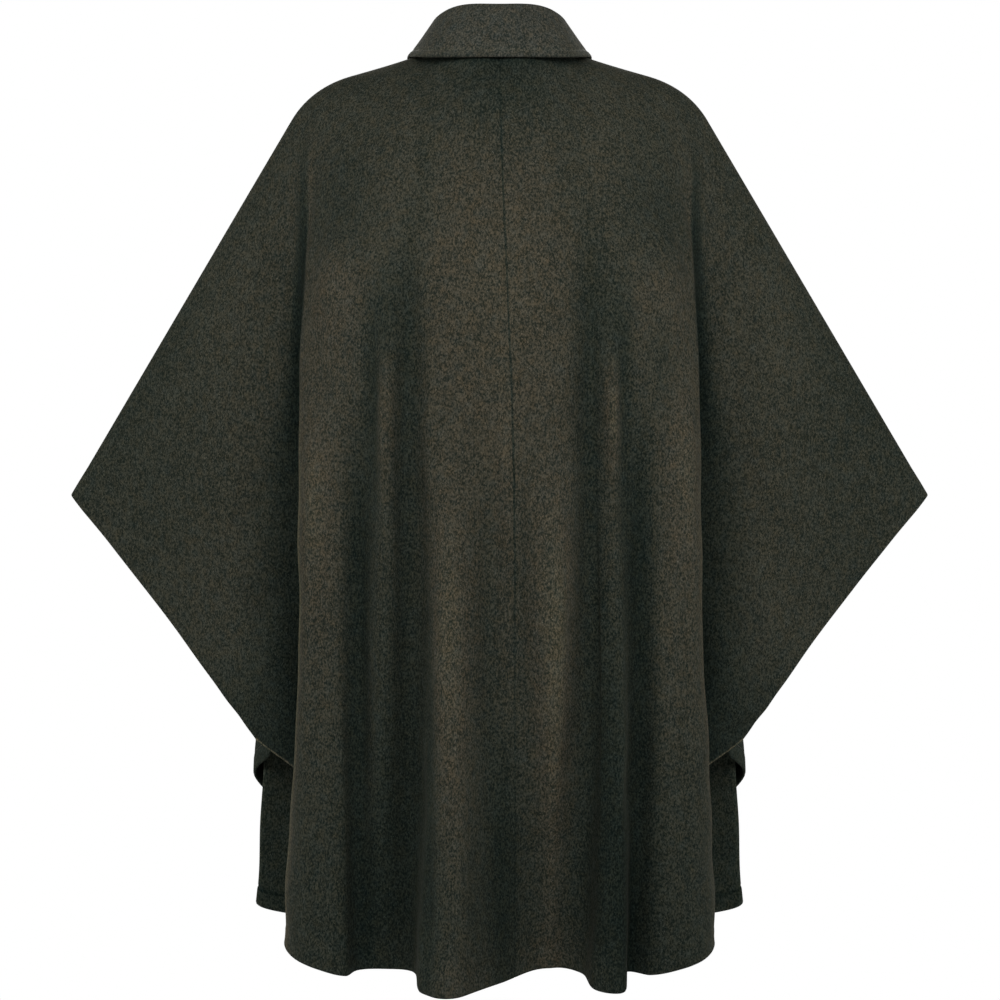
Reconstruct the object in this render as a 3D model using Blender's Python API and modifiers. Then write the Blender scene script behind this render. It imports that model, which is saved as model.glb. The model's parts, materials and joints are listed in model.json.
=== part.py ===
"""A wool cape, worn with both sides held out like wings, built from its cut-and-sewn cloth panels.

Metres, +Z up. The wearer faces -Y, so the back panels lie at +Y and the wearer's left is +X.
The origin is the middle of the neck, level with the neck points of the shoulder seams.
"""

import math
from collections import namedtuple

import bpy
import numpy as np
from mathutils import Matrix

# Cloth and sewing
WALL = 0.0025
SEAM_GAP = 0.0005

# Neck seam: a ring that sits high at the centre back and low at the centre front
NECK_HALF_WIDTH = 0.074
NECK_BACK = 0.068
NECK_FRONT = 0.085
NECK_POINT_Z = 0.0045
NECK_RISE_BACK = 0.0065
NECK_DROP_FRONT = 0.060
BACK_NECK_ARC = 0.112
FRONT_NECK_ARC = 0.130

# Overarm seam: from the neck point along the shoulder, round it, and straight to the wing's tip
SHOULDER = (0.201, 0.0, -0.031)
WING_TIP = (0.468, -0.050, -0.472)
ROUND_BEFORE = 0.045
ROUND_AFTER = 0.040

# Levels down the cloth, as a share of the way from the seam to the hem
CHEST_LEVEL = 0.2
WAIST_LEVEL = 0.6
ROW_CROWDING = 1.4
SEAM_ROW = 0.007
SEAM_BULGE = 0.030
SHOULDER_SQUARENESS = 13.5
NECK_EASE = 0.11
NECK_EASE_DEPTH = 0.35
SEAM_WINDOW = 0.03
SEAM_SPREAD = 0.3
KNOT_POWER = 0.5
HUMP_PEAK = 4 / 27
NORMAL_STEP = 0.001

# Front fastening
FRONT_OVERLAP = 0.022
OVERLAP_STEP = 0.0024
OVERLAP_EASE = 0.025
BUTTON_COUNT = 5
BUTTON_RADIUS = 0.014
BUTTON_THICKNESS = 0.0045
BUTTON_LIFT = 0.0006
FIRST_BUTTON = 0.085
BUTTON_SPACING = 0.125
BUTTON_REACH = 0.01
BUTTON_MERGE = 0.0001

# A button's turned profile from its middle underneath to its middle on top, as shares of radius and thickness
Turned = namedtuple("Turned", "radius height")
BUTTON_PROFILE = (
    Turned(0.00, 0.00),
    Turned(0.75, 0.00),
    Turned(1.00, 0.45),
    Turned(0.93, 1.00),
    Turned(0.72, 1.00),
    Turned(0.60, 0.72),
    Turned(0.00, 0.72),
)

# Collar
STAND_LEAN = 0.0105
ROLL_RADIUS = 0.0042
ROLL_CLEARANCE = 0.0016
FALL_BULGE = -0.002

# The collar from the centre back to its point: angle is measured round the neck, base is how far the stand
# rides above the neck seam, stand is its height, and x, y and z are where the fall's edge lies.
Collar = namedtuple("Collar", "angle base stand x y z")
COLLAR = (
    Collar(0, 0.0027, 0.0285, 0.000, 0.093, -0.0085),
    Collar(45, 0.0027, 0.0325, 0.072, 0.070, -0.004),
    Collar(90, 0.0030, 0.0290, 0.0962, 0.000, 0.004),
    Collar(130, 0.0031, 0.0240, 0.086, -0.068, -0.024),
    Collar(176, 0.0060, 0.0200, 0.046, -0.117, -0.098),
)

# Mesh fineness
COLUMN_SHARES = (0, 0.24, 0.76)
ROWS = 15
COLLAR_COLUMNS = 30
STAND_ROWS = 3
ROLL_ROWS = 4
FALL_ROWS = 5
BUTTON_STEPS = 16
SEAT_ROWS = 400
SEAT_COLUMNS = 40

# Colours and roughness
LODEN_COLOUR = (0.030, 0.029, 0.024)
LODEN_ROUGHNESS = 0.95
HORN_COLOUR = (0.030, 0.022, 0.016)
HORN_ROUGHNESS = 0.40

# One row for each fold line from the centre outwards. seam is how far along the top seam the line starts;
# the other columns are where it passes at the chest, at the waist and at the hem.
Station = namedtuple("Station", "seam chest_x chest_y waist_x waist_y hem_x hem_y hem_z")

CENTRE_BACK = Station(0.000, 0.000, 0.128, 0.000, 0.165, 0.000, 0.166, -0.949)

BACK_LEFT_FOLDS = (
    Station(0.045, 0.040, 0.131, 0.044, 0.174, 0.053, 0.222, -0.951),
    Station(0.075, 0.066, 0.131, 0.066, 0.165, 0.081, 0.206, -0.949),
    Station(0.105, 0.088, 0.129, 0.087, 0.148, 0.094, 0.142, -0.943),
    Station(0.135, 0.112, 0.124, 0.116, 0.153, 0.122, 0.131, -0.942),
    Station(0.170, 0.138, 0.114, 0.143, 0.131, 0.140, 0.134, -0.943),
    Station(0.200, 0.162, 0.100, 0.166, 0.130, 0.154, 0.151, -0.945),
    Station(0.225, 0.184, 0.083, 0.190, 0.118, 0.190, 0.138, -0.938),
)

BACK_RIGHT_FOLDS = (
    Station(0.045, 0.040, 0.131, 0.045, 0.174, 0.052, 0.125, -0.940),
    Station(0.085, 0.074, 0.131, 0.084, 0.149, 0.081, 0.147, -0.943),
    Station(0.112, 0.096, 0.128, 0.103, 0.151, 0.094, 0.196, -0.949),
    Station(0.140, 0.116, 0.123, 0.122, 0.149, 0.120, 0.203, -0.950),
    Station(0.170, 0.138, 0.114, 0.143, 0.131, 0.130, 0.140, -0.943),
    Station(0.200, 0.162, 0.100, 0.166, 0.130, 0.152, 0.147, -0.945),
    Station(0.225, 0.184, 0.083, 0.190, 0.118, 0.190, 0.138, -0.938),
)

# From the outer crest the cloth tucks in behind the back and comes out again as the wing.
BACK_WING = (
    Station(0.250, 0.204, 0.060, 0.209, 0.088, 0.222, 0.075, -0.925),
    Station(0.275, 0.209, 0.045, 0.170, 0.060, 0.158, 0.046, -0.906),
    Station(0.310, 0.219, 0.034, 0.166, 0.036, 0.146, 0.020, -0.874),
    Station(0.375, 0.249, 0.030, 0.202, 0.030, 0.158, 0.020, -0.826),
    Station(0.520, 0.318, 0.012, 0.258, 0.026, 0.188, 0.046, -0.774),
    Station(0.762, 0.4205, -0.033, 0.3375, -0.010, 0.2575, 0.020, -0.724),
)

FRONT_FOLDS = (
    Station(-0.022, -0.022, -0.128, -0.022, -0.167, -0.022, -0.175, -0.950),
    Station(0.022, 0.022, -0.128, 0.022, -0.167, 0.022, -0.175, -0.950),
    Station(0.050, 0.048, -0.128, 0.050, -0.166, 0.050, -0.172, -0.950),
    Station(0.083, 0.078, -0.125, 0.085, -0.150, 0.084, -0.149, -0.947),
    Station(0.125, 0.112, -0.115, 0.120, -0.147, 0.126, -0.160, -0.946),
    Station(0.165, 0.150, -0.098, 0.166, -0.117, 0.176, -0.122, -0.938),
    Station(0.205, 0.178, -0.078, 0.210, -0.089, 0.224, -0.096, -0.932),
    Station(0.250, 0.202, -0.056, 0.246, -0.072, 0.267, -0.087, -0.919),
)

# The front tucks under its own crest, and the wing's front layer folds over it in a second crest.
FRONT_WING = (
    Station(0.272, 0.214, -0.056, 0.243, -0.092, 0.262, -0.102, -0.910),
    Station(0.296, 0.227, -0.057, 0.223, -0.105, 0.221, -0.117, -0.873),
    Station(0.325, 0.243, -0.056, 0.227, -0.122, 0.221, -0.137, -0.848),
    Station(0.370, 0.267, -0.052, 0.261, -0.106, 0.271, -0.098, -0.779),
    Station(0.450, 0.308, -0.051, 0.268, -0.050, 0.253, -0.047, -0.751),
    Station(0.780, 0.418, -0.069, 0.333, -0.046, 0.245, -0.028, -0.738),
)


def unit(vector):
    return vector / np.linalg.norm(vector)


def neck_ring(angle):
    """A point of the neck seam: angle 0 is the centre back, pi the centre front, positive to the left."""
    back = math.cos(angle)
    depth = NECK_BACK if back > 0 else NECK_FRONT
    rise = NECK_RISE_BACK if back > 0 else NECK_DROP_FRONT
    return np.array((NECK_HALF_WIDTH * math.sin(angle), depth * back, NECK_POINT_Z + rise * back))


def overarm(distance):
    """A point of the left overarm seam, at this distance from the neck point."""
    neck = neck_ring(math.pi / 2)
    corner = np.array(SHOULDER)
    tip = np.array(WING_TIP)
    along = unit(corner - neck)
    down = unit(tip - corner)
    straight = np.linalg.norm(corner - neck) - ROUND_BEFORE
    rounded = ROUND_BEFORE + ROUND_AFTER
    if distance < straight:
        return neck + along * distance
    if distance < straight + rounded:
        t = (distance - straight) / rounded
        start = corner - along * ROUND_BEFORE
        end = corner + down * ROUND_AFTER
        return start * (1 - t) ** 2 + corner * 2 * t * (1 - t) + end * t * t
    reach = np.linalg.norm(tip - corner)
    return corner + down * min(distance - straight - ROUND_BEFORE, reach)


def back_seam(distance):
    """A point of the back's top edge: the neck seam from the centre back, then the overarm seam."""
    if distance < BACK_NECK_ARC:
        return neck_ring(distance / BACK_NECK_ARC * math.pi / 2)
    return overarm(distance - BACK_NECK_ARC) + (0, SEAM_GAP / 2, 0)


def front_seam(distance):
    """A point of the front's top edge: the neck seam from the centre front, then the overarm seam."""
    if distance < FRONT_NECK_ARC:
        return neck_ring(math.pi - distance / FRONT_NECK_ARC * math.pi / 2)
    return overarm(distance - FRONT_NECK_ARC) - (0, SEAM_GAP / 2, 0)


def spline(knots, values, at):
    """A smooth curve through values at uneven knots."""
    span = int(np.clip(np.searchsorted(knots, at) - 1, 0, len(knots) - 2))

    def slope(i):
        if i == 0 or i == len(knots) - 1:
            near = min(max(i, 1), len(knots) - 1)
            return (values[near] - values[near - 1]) / (knots[near] - knots[near - 1])
        before = knots[i] - knots[i - 1]
        after = knots[i + 1] - knots[i]
        rise_before = (values[i] - values[i - 1]) / before
        rise_after = (values[i + 1] - values[i]) / after
        return (rise_before * after + rise_after * before) / (before + after)

    width = knots[span + 1] - knots[span]
    t = (at - knots[span]) / width
    return (
        values[span] * (1 + 2 * t) * (1 - t) ** 2
        + slope(span) * width * t * (1 - t) ** 2
        + values[span + 1] * t * t * (3 - 2 * t)
        + slope(span + 1) * width * t * t * (t - 1)
    )


class Drape:
    """A hanging cloth surface, through the stations across and the seam, chest, waist and hem down."""

    def __init__(self, stations, sides, seam_line, facing):
        self.seam_line = seam_line
        self.facing = facing
        self.start = np.array([s.seam * side for s, side in zip(stations, sides)])
        self.chest = np.array([(s.chest_x * side, s.chest_y) for s, side in zip(stations, sides)])
        self.waist = np.array([(s.waist_x * side, s.waist_y) for s, side in zip(stations, sides)])
        self.hem = np.array([(s.hem_x * side, s.hem_y, s.hem_z) for s, side in zip(stations, sides)])
        steps = np.linalg.norm(np.diff(self.hem, axis=0), axis=1) ** KNOT_POWER
        self.knots = np.concatenate([[0], np.cumsum(steps)])

    def station(self, across):
        """The knot at this count of stations from the first."""
        return np.interp(across, range(len(self.knots)), self.knots)

    def top(self, knot):
        distance = spline(self.knots, self.start, knot)
        return self.seam_line(distance)

    def away(self, knot):
        """The level direction in which the cloth leaves its top seam."""
        distance = spline(self.knots, self.start, knot)
        across = self.seam_line(distance + SEAM_WINDOW) - self.seam_line(distance - SEAM_WINDOW)
        return unit(np.array((-across[1], across[0], 0))) * (SEAM_SPREAD * self.facing, self.facing, 0)

    def point(self, knot, down):
        """The cloth's middle surface, from 0 at the seam to 1 at the hem, eased below the neck's corners."""
        share = min(down / NECK_EASE_DEPTH, 1)
        reach = NECK_EASE * share * (1 - share) ** 2 / HUMP_PEAK
        reach = min(reach, (knot - self.knots[0]) / 2, (self.knots[-1] - knot) / 2)
        if reach <= 0:
            return self.fold_line(knot, down)
        near = self.fold_line(knot - reach, down) + self.fold_line(knot + reach, down)
        far = self.fold_line(knot - 2 * reach, down) + self.fold_line(knot + 2 * reach, down)
        return (self.fold_line(knot, down) * 6 + near * 4 + far) / 16

    def fold_line(self, knot, down):
        """A point of one fold line, which runs straight down the cloth."""
        top = self.top(knot)
        hem = spline(self.knots, self.hem, knot)
        fall = hem[2] - top[2]
        chest = np.append(spline(self.knots, self.chest, knot), top[2] + fall * CHEST_LEVEL)
        waist = np.append(spline(self.knots, self.waist, knot), top[2] + fall * WAIST_LEVEL)
        reach = abs(chest[1] - top[1])
        leave = self.away(knot) * (SEAM_BULGE + reach * reach * SHOULDER_SQUARENESS) / CHEST_LEVEL
        levels = (0, CHEST_LEVEL, WAIST_LEVEL, 1)
        slopes = (
            leave,
            (waist - top) / WAIST_LEVEL,
            (hem - chest) / (1 - CHEST_LEVEL),
            (hem - waist) / (1 - WAIST_LEVEL),
        )
        points = (top, chest, waist, hem)
        span = 0 if down < CHEST_LEVEL else 1 if down < WAIST_LEVEL else 2
        width = levels[span + 1] - levels[span]
        t = (down - levels[span]) / width
        return (
            points[span] * (1 + 2 * t) * (1 - t) ** 2
            + slopes[span] * width * t * (1 - t) ** 2
            + points[span + 1] * t * t * (3 - 2 * t)
            + slopes[span + 1] * width * t * t * (t - 1)
        )

    def normal(self, knot, down):
        """The outward direction of the cloth."""
        across = self.point(knot + NORMAL_STEP, down) - self.point(knot - NORMAL_STEP, down)
        low = max(down - NORMAL_STEP, 0)
        along = self.point(knot, low + 2 * NORMAL_STEP) - self.point(knot, low)
        return unit(np.cross(across, along)) * self.facing


def mirrored_seam(seam_line):
    """The same seam for both sides of the centre: a negative distance lies on the wearer's right."""

    def line(distance):
        point = seam_line(abs(distance))
        return point * (math.copysign(1, distance), 1, 1)

    return line


def back_drape():
    left = (CENTRE_BACK,) + BACK_LEFT_FOLDS + BACK_WING
    right = BACK_RIGHT_FOLDS + BACK_WING
    stations = tuple(reversed(right)) + left
    sides = (-1,) * len(right) + (1,) * len(left)
    return Drape(stations, sides, mirrored_seam(back_seam), 1)


def front_drape():
    stations = FRONT_FOLDS + FRONT_WING
    return Drape(stations, (1,) * len(stations), front_seam, -1)


def collar_at(angle):
    """The stand's base and height and the fall's edge at this angle round the neck."""
    angles = np.radians([row.angle for row in COLLAR])
    columns = [[row[column] for row in COLLAR] for column in range(1, len(Collar._fields))]
    base, height, x, y, z = [spline(angles, column, abs(angle)) for column in columns]
    return base, height, np.array((math.copysign(x, angle), y, z))


def collar_profile(angle):
    """The collar's section at this angle: the stand's points, then the fall's from its roll to its edge."""
    seam = neck_ring(angle)
    out = unit(seam * (1, 1, 0))
    lift, height, edge = collar_at(angle)
    base = seam + (0, 0, lift)
    stand_top = base + (0, 0, height) - out * STAND_LEAN
    stand = [base + (stand_top - base) * t for t in np.linspace(0, 1, STAND_ROWS + 1)]

    roll_start = stand_top + unit(stand_top - base) * ROLL_CLEARANCE
    centre = roll_start + out * ROLL_RADIUS
    up = np.array((0, 0, 1))
    turns = np.linspace(math.pi, 0, ROLL_ROWS + 1)
    roll = [centre + (out * math.cos(t) + up * math.sin(t)) * ROLL_RADIUS for t in turns]

    start = roll[-1]
    pull = (start + edge) / 2 + (out + up) * FALL_BULGE
    steps = np.linspace(0, 1, FALL_ROWS + 1)[1:]
    fall = [start * (1 - t) ** 2 + pull * 2 * t * (1 - t) + edge * t * t for t in steps]
    return stand, roll + fall


def loft(name, sections, collection, material):
    """A wall of cloth through these sections, each a row of points, closed by its own thickness."""
    points = [tuple(point) for section in sections for point in section]
    width = len(sections[0])
    faces = []
    for row in range(len(sections) - 1):
        for column in range(width - 1):
            corner = row * width + column
            faces.append((corner, corner + width, corner + width + 1, corner + 1))
    mesh = bpy.data.meshes.new(name)
    mesh.from_pydata(points, [], faces)
    mesh.materials.append(material)
    piece = bpy.data.objects.new(name, mesh)
    collection.objects.link(piece)
    wall = piece.modifiers.new("Wall", "SOLIDIFY")
    wall.thickness = WALL
    wall.offset = 0
    wall.use_even_offset = False
    return piece


def panel(name, drape, first, last, place, collection, material):
    """One cut panel of a drape, between two stations; place gives its points, clear of the seams."""
    across = [step + share for step in range(first, last) for share in COLUMN_SHARES] + [last]
    knots = [drape.station(count) for count in across]
    downs = np.insert(np.linspace(0, 1, ROWS + 1) ** ROW_CROWDING, 1, SEAM_ROW)
    sections = [[place(knot, down) for down in downs] for knot in knots]
    return loft(name, sections, collection, material)


def front_point(drape, knot, down, outward):
    """A front panel's point, moved out or in where the fronts lap over each other."""
    point = drape.point(knot, down)
    share = 1 - np.clip((abs(point[0]) - FRONT_OVERLAP) / OVERLAP_EASE, 0, 1)
    if share == 0:
        return point
    ease = share * share * (3 - 2 * share)
    return point + drape.normal(knot, down) * outward * OVERLAP_STEP * ease


def right_front_point(drape, knot, down):
    """The right front, which laps over the left."""
    return front_point(drape, knot, down, 1) * (-1, 1, 1)


def button_seat(drape, drop):
    """The middle of a button on the right front, this far below the neck, and the way it faces."""
    downs = np.linspace(0, 1, SEAT_ROWS)
    knots = np.linspace(drape.station(0), drape.station(1), SEAT_COLUMNS)
    middle = np.interp(0, [drape.point(k, CHEST_LEVEL)[0] for k in knots], knots)
    heights = [right_front_point(drape, middle, d)[2] for d in downs]
    neck = heights[0]
    down = np.interp(neck - drop, heights[::-1], downs[::-1])
    here = right_front_point(drape, middle, down)
    below = right_front_point(drape, middle, down + BUTTON_REACH)
    along = unit(below - here)
    facing = unit(np.cross(along, (1, 0, 0)))
    return here, facing * math.copysign(1, -facing[1]), along


def button(name, seat, facing, along, collection, material):
    """A turned button: a dished disc standing on the cloth."""
    lift = WALL / 2 + BUTTON_LIFT
    profile = [(ring.radius * BUTTON_RADIUS, 0, ring.height * BUTTON_THICKNESS) for ring in BUTTON_PROFILE]
    mesh = bpy.data.meshes.new(name)
    edges = [(i, i + 1) for i in range(len(profile) - 1)]
    mesh.from_pydata(profile, edges, [])
    mesh.materials.append(material)
    piece = bpy.data.objects.new(name, mesh)
    collection.objects.link(piece)
    turn = piece.modifiers.new("Turn", "SCREW")
    turn.steps = BUTTON_STEPS
    turn.render_steps = BUTTON_STEPS
    turn.use_merge_vertices = True
    turn.merge_threshold = BUTTON_MERGE
    turn.use_normal_calculate = True
    side = np.cross(along, facing)
    place = np.eye(4)
    place[:3, 0] = side
    place[:3, 1] = np.cross(facing, side)
    place[:3, 2] = facing
    place[:3, 3] = seat + facing * lift
    piece.matrix_world = Matrix(place.tolist())
    return piece


def principled(name, colour, roughness):
    material = bpy.data.materials.new(name)
    material.use_nodes = True
    shader = material.node_tree.nodes["Principled BSDF"]
    shader.inputs["Base Color"].default_value = (*colour, 1)
    shader.inputs["Roughness"].default_value = roughness
    return material


def main():
    for thing in list(bpy.data.objects):
        bpy.data.objects.remove(thing, do_unlink=True)
    parts = bpy.data.collections.new("cape")
    bpy.context.scene.collection.children.link(parts)
    cloth = principled("loden", LODEN_COLOUR, LODEN_ROUGHNESS)
    horn = principled("button_horn", HORN_COLOUR, HORN_ROUGHNESS)

    back = back_drape()
    centre = len(BACK_RIGHT_FOLDS) + len(BACK_WING)
    last = len(back.knots) - 1
    apart = np.array((SEAM_GAP / 2, 0, 0))
    panel("back_left", back, centre, last, lambda k, d: back.point(k, d) + apart, parts, cloth)
    panel("back_right", back, 0, centre, lambda k, d: back.point(k, d) - apart, parts, cloth)

    front = front_drape()
    edge = len(front.knots) - 1
    panel("front_left", front, 0, edge, lambda k, d: front_point(front, k, d, -1), parts, cloth)
    panel("front_right", front, 0, edge, lambda k, d: right_front_point(front, k, d), parts, cloth)

    end = math.radians(COLLAR[-1].angle)
    profiles = [collar_profile(angle) for angle in np.linspace(-end, end, COLLAR_COLUMNS + 1)]
    loft("collar_stand", [stand for stand, fall in profiles], parts, cloth)
    loft("collar_fall", [fall for stand, fall in profiles], parts, cloth)

    for number in range(BUTTON_COUNT):
        seat, facing, along = button_seat(front, FIRST_BUTTON + BUTTON_SPACING * number)
        button(f"button_{number + 1}", seat, facing, along, parts, horn)


main()
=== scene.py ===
"""A wool cape in its worn shape: cloth panels, collar, sewing, buttons, and the studio round them.

Metres, +Z up. The wearer faces -Y, so the back lies at +Y and the wearer's left is +X.
"""

import json
import math
from collections import namedtuple

import bmesh
import bpy
import numpy as np
from mathutils import Matrix, Vector
from mathutils.bvhtree import BVHTree

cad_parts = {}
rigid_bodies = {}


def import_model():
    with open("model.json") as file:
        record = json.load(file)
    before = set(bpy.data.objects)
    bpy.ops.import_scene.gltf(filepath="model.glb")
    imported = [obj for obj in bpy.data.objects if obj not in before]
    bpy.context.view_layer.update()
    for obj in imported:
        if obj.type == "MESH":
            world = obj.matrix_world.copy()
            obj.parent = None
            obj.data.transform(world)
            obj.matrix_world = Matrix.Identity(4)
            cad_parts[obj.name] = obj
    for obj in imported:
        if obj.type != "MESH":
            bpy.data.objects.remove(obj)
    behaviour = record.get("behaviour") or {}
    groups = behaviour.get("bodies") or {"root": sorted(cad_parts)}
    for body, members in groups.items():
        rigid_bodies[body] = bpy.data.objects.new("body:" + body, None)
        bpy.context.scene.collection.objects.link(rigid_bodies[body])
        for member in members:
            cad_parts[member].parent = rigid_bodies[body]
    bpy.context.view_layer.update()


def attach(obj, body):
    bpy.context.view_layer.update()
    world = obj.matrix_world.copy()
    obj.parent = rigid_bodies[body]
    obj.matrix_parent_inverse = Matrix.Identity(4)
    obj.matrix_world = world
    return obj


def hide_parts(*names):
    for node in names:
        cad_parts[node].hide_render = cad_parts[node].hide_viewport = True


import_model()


def listed(kind, *lines):
    return tuple(kind(*line) for line in lines)


# Something that comes in along the cloth: nothing of it at start, and all of it one width further on.
# A negative width runs the other way.
Ramp = namedtuple("Ramp", "start width")

# Cloth and sewing
WALL = 0.0025
SEAM_GAP = 0.0005
HEM_DEPTH = 0.017
HEM_FULLNESS = 0.0005
COLLAR_STITCH = 0.0065
TURNED_HEM = Ramp(HEM_DEPTH + 0.002, -0.004)
TURNED_COLLAR = Ramp(COLLAR_STITCH, -0.003)
Stitch = namedtuple("Stitch", "pitch length radius")
HEM_STITCH = Stitch(0.0038, 0.0030, 0.00032)
HOLE_STITCH = Stitch(0.0009, 0.0014, 0.00055)
STITCH_INPUTS = (
    ("Path", "Geometry"),
    ("Pitch", "Float"),
    ("Length", "Float"),
    ("Radius", "Float"),
    ("Thread", "Material"),
)

# A stitch's middle stands above the cloth by this share of its radius.
STITCH_LIFT = 0.3

# The stitching draws the hem in, on its face and inside.
GROOVE_DEPTH = 0.0005
INNER_GROOVE_DEPTH = 0.0010
GROOVE_WIDTH = 0.0016

# Neck seam
NECK_HALF_WIDTH = 0.074
NECK_BACK = 0.068
NECK_FRONT = 0.085
NECK_POINT_Z = 0.0045
NECK_RISE_BACK = 0.0065
NECK_DROP_FRONT = 0.060
BACK_NECK_ARC = 0.112
FRONT_NECK_ARC = 0.130

# Overarm seam
SHOULDER = (0.201, 0.0, -0.031)
WING_TIP = (0.465, -0.050, -0.4665)
ROUND_BEFORE = 0.045
ROUND_AFTER = 0.040

# Levels down the cloth, as a share of the way from the seam to the hem
CHEST_LEVEL = 0.2
WAIST_LEVEL = 0.6

# How the cloth leaves its top seam and eases below the neck's corners
SEAM_BULGE = 0.030
SHOULDER_SQUARENESS = 13.5
NECK_EASE = 0.11
NECK_EASE_DEPTH = 0.35
SEAM_WINDOW = 0.03
SEAM_SPREAD = 0.3
KNOT_POWER = 0.5
HUMP_PEAK = 4 / 27

# Front fastening
BUTTONS = 5
BUTTON_RADIUS = 0.014
BUTTON_THICKNESS = 0.0045
BUTTON_LIFT = 0.0004
BUTTON_SIDES = 64
BUTTON_SHARP = math.radians(40)
EYE_SIDES = 20
EYE_RADIUS = 0.0011
EYE_APART = 0.0046
EYE_FLOOR = 0.0012
THREAD_RADIUS = 0.00045
STRAND_SHOULDER = 0.6
STRAND_RISE = 1.6
HOLE_FROM = -0.0250
HOLE_TO = 0.0030
HOLE_HALF_WIDTH = 0.0009
HOLE_END_POINTS = 6
HOLE_SIDE_POINTS = 16
LAP_STEP = 0.0024
LAP = Ramp(0.047, -0.025)

# Rings under a button where its height above the cloth is tried, as shares of its radius
REST_REACHES = (0, 0.5, 0.8)
REST_PLACES = 12

# A button's turned profile from underneath to its dished face, as shares of radius and thickness
Turned = namedtuple("Turned", "radius height")
BUTTON_PROFILE = listed(
    Turned,
    (0.740, 0.000),
    (0.880, 0.080),
    (0.970, 0.260),
    (1.000, 0.480),
    (0.985, 0.720),
    (0.940, 0.910),
    (0.880, 0.985),
    (0.830, 1.000),
    (0.770, 0.985),
    (0.710, 0.920),
    (0.650, 0.800),
    (0.600, 0.735),
    (0.540, 0.720),
)

# Collar
STAND_LEAN = 0.0105
ROLL_RADIUS = 0.0046
ROLL_CLEARANCE = 0.0016
ROLL_END = 0.60
FALL_REACH = 0.40
STAND_EASE = 10

Collar = namedtuple("Collar", "angle base stand x y z")
COLLAR = listed(
    Collar,
    (0, 0.0015, 0.0291, 0.000, 0.094, -0.0098),
    (45, 0.0015, 0.0315, 0.072, 0.0715, -0.0066),
    (68, 0.0016, 0.0281, 0.0895, 0.040, -0.0016),
    (90, 0.0017, 0.0271, 0.0970, 0.000, 0.0026),
    (130, 0.0018, 0.0248, 0.086, -0.068, -0.024),
    (176, 0.0045, 0.0215, 0.046, -0.117, -0.098),
)

# One row for each fold line from the centre outwards. seam is how far along the top seam the line starts;
# the other columns are where it passes at the chest, at the waist and at the hem.
Station = namedtuple("Station", "seam chest_x chest_y waist_x waist_y hem_x hem_y hem_z")

CENTRE_BACK = Station(0.000, 0.000, 0.128, 0.000, 0.165, 0.000, 0.166, -0.949)

BACK_LEFT_FOLDS = listed(
    Station,
    (0.045, 0.040, 0.131, 0.044, 0.174, 0.053, 0.222, -0.951),
    (0.075, 0.066, 0.131, 0.066, 0.165, 0.081, 0.206, -0.949),
    (0.105, 0.088, 0.129, 0.087, 0.148, 0.094, 0.142, -0.943),
    (0.135, 0.112, 0.124, 0.116, 0.153, 0.122, 0.131, -0.942),
    (0.170, 0.138, 0.114, 0.143, 0.131, 0.140, 0.134, -0.943),
    (0.200, 0.162, 0.100, 0.166, 0.130, 0.154, 0.151, -0.945),
    (0.225, 0.184, 0.083, 0.190, 0.118, 0.190, 0.138, -0.938),
)

BACK_RIGHT_FOLDS = listed(
    Station,
    (0.045, 0.040, 0.131, 0.045, 0.174, 0.052, 0.125, -0.940),
    (0.085, 0.074, 0.131, 0.084, 0.149, 0.081, 0.147, -0.943),
    (0.112, 0.096, 0.128, 0.103, 0.151, 0.094, 0.196, -0.949),
    (0.140, 0.116, 0.123, 0.122, 0.149, 0.120, 0.203, -0.950),
    (0.170, 0.138, 0.114, 0.143, 0.131, 0.130, 0.140, -0.943),
    (0.200, 0.162, 0.100, 0.166, 0.130, 0.152, 0.147, -0.945),
    (0.225, 0.184, 0.083, 0.190, 0.118, 0.190, 0.138, -0.938),
)

# From the outer crest the cloth tucks in behind the back and comes out again as the wing.
BACK_WING = listed(
    Station,
    (0.250, 0.204, 0.060, 0.209, 0.088, 0.222, 0.075, -0.925),
    (0.275, 0.209, 0.045, 0.170, 0.060, 0.158, 0.046, -0.906),
    (0.310, 0.219, 0.034, 0.166, 0.036, 0.146, 0.020, -0.874),
    (0.375, 0.249, 0.030, 0.202, 0.030, 0.158, 0.020, -0.826),
    (0.520, 0.318, 0.012, 0.258, 0.026, 0.188, 0.046, -0.774),
    (0.762, 0.4205, -0.033, 0.3375, -0.010, 0.2575, 0.020, -0.724),
)

FRONT_FOLDS = listed(
    Station,
    (-0.022, -0.022, -0.128, -0.022, -0.167, -0.022, -0.175, -0.950),
    (0.022, 0.022, -0.128, 0.022, -0.167, 0.022, -0.175, -0.950),
    (0.050, 0.048, -0.128, 0.050, -0.166, 0.050, -0.172, -0.950),
    (0.083, 0.078, -0.125, 0.085, -0.150, 0.084, -0.149, -0.947),
    (0.125, 0.112, -0.115, 0.120, -0.147, 0.126, -0.160, -0.946),
    (0.165, 0.150, -0.098, 0.166, -0.117, 0.176, -0.122, -0.938),
    (0.205, 0.178, -0.078, 0.210, -0.089, 0.224, -0.096, -0.932),
    (0.250, 0.202, -0.056, 0.246, -0.072, 0.267, -0.087, -0.919),
)

# The front tucks under its own crest, and the wing's front layer folds over it in a second crest.
FRONT_WING = listed(
    Station,
    (0.272, 0.214, -0.056, 0.243, -0.092, 0.262, -0.102, -0.910),
    (0.296, 0.227, -0.057, 0.223, -0.105, 0.221, -0.117, -0.873),
    (0.325, 0.243, -0.056, 0.227, -0.122, 0.221, -0.137, -0.848),
    (0.370, 0.267, -0.052, 0.261, -0.106, 0.271, -0.098, -0.779),
    (0.450, 0.308, -0.051, 0.268, -0.050, 0.253, -0.047, -0.751),
    (0.780, 0.418, -0.069, 0.333, -0.046, 0.245, -0.028, -0.738),
)

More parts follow.
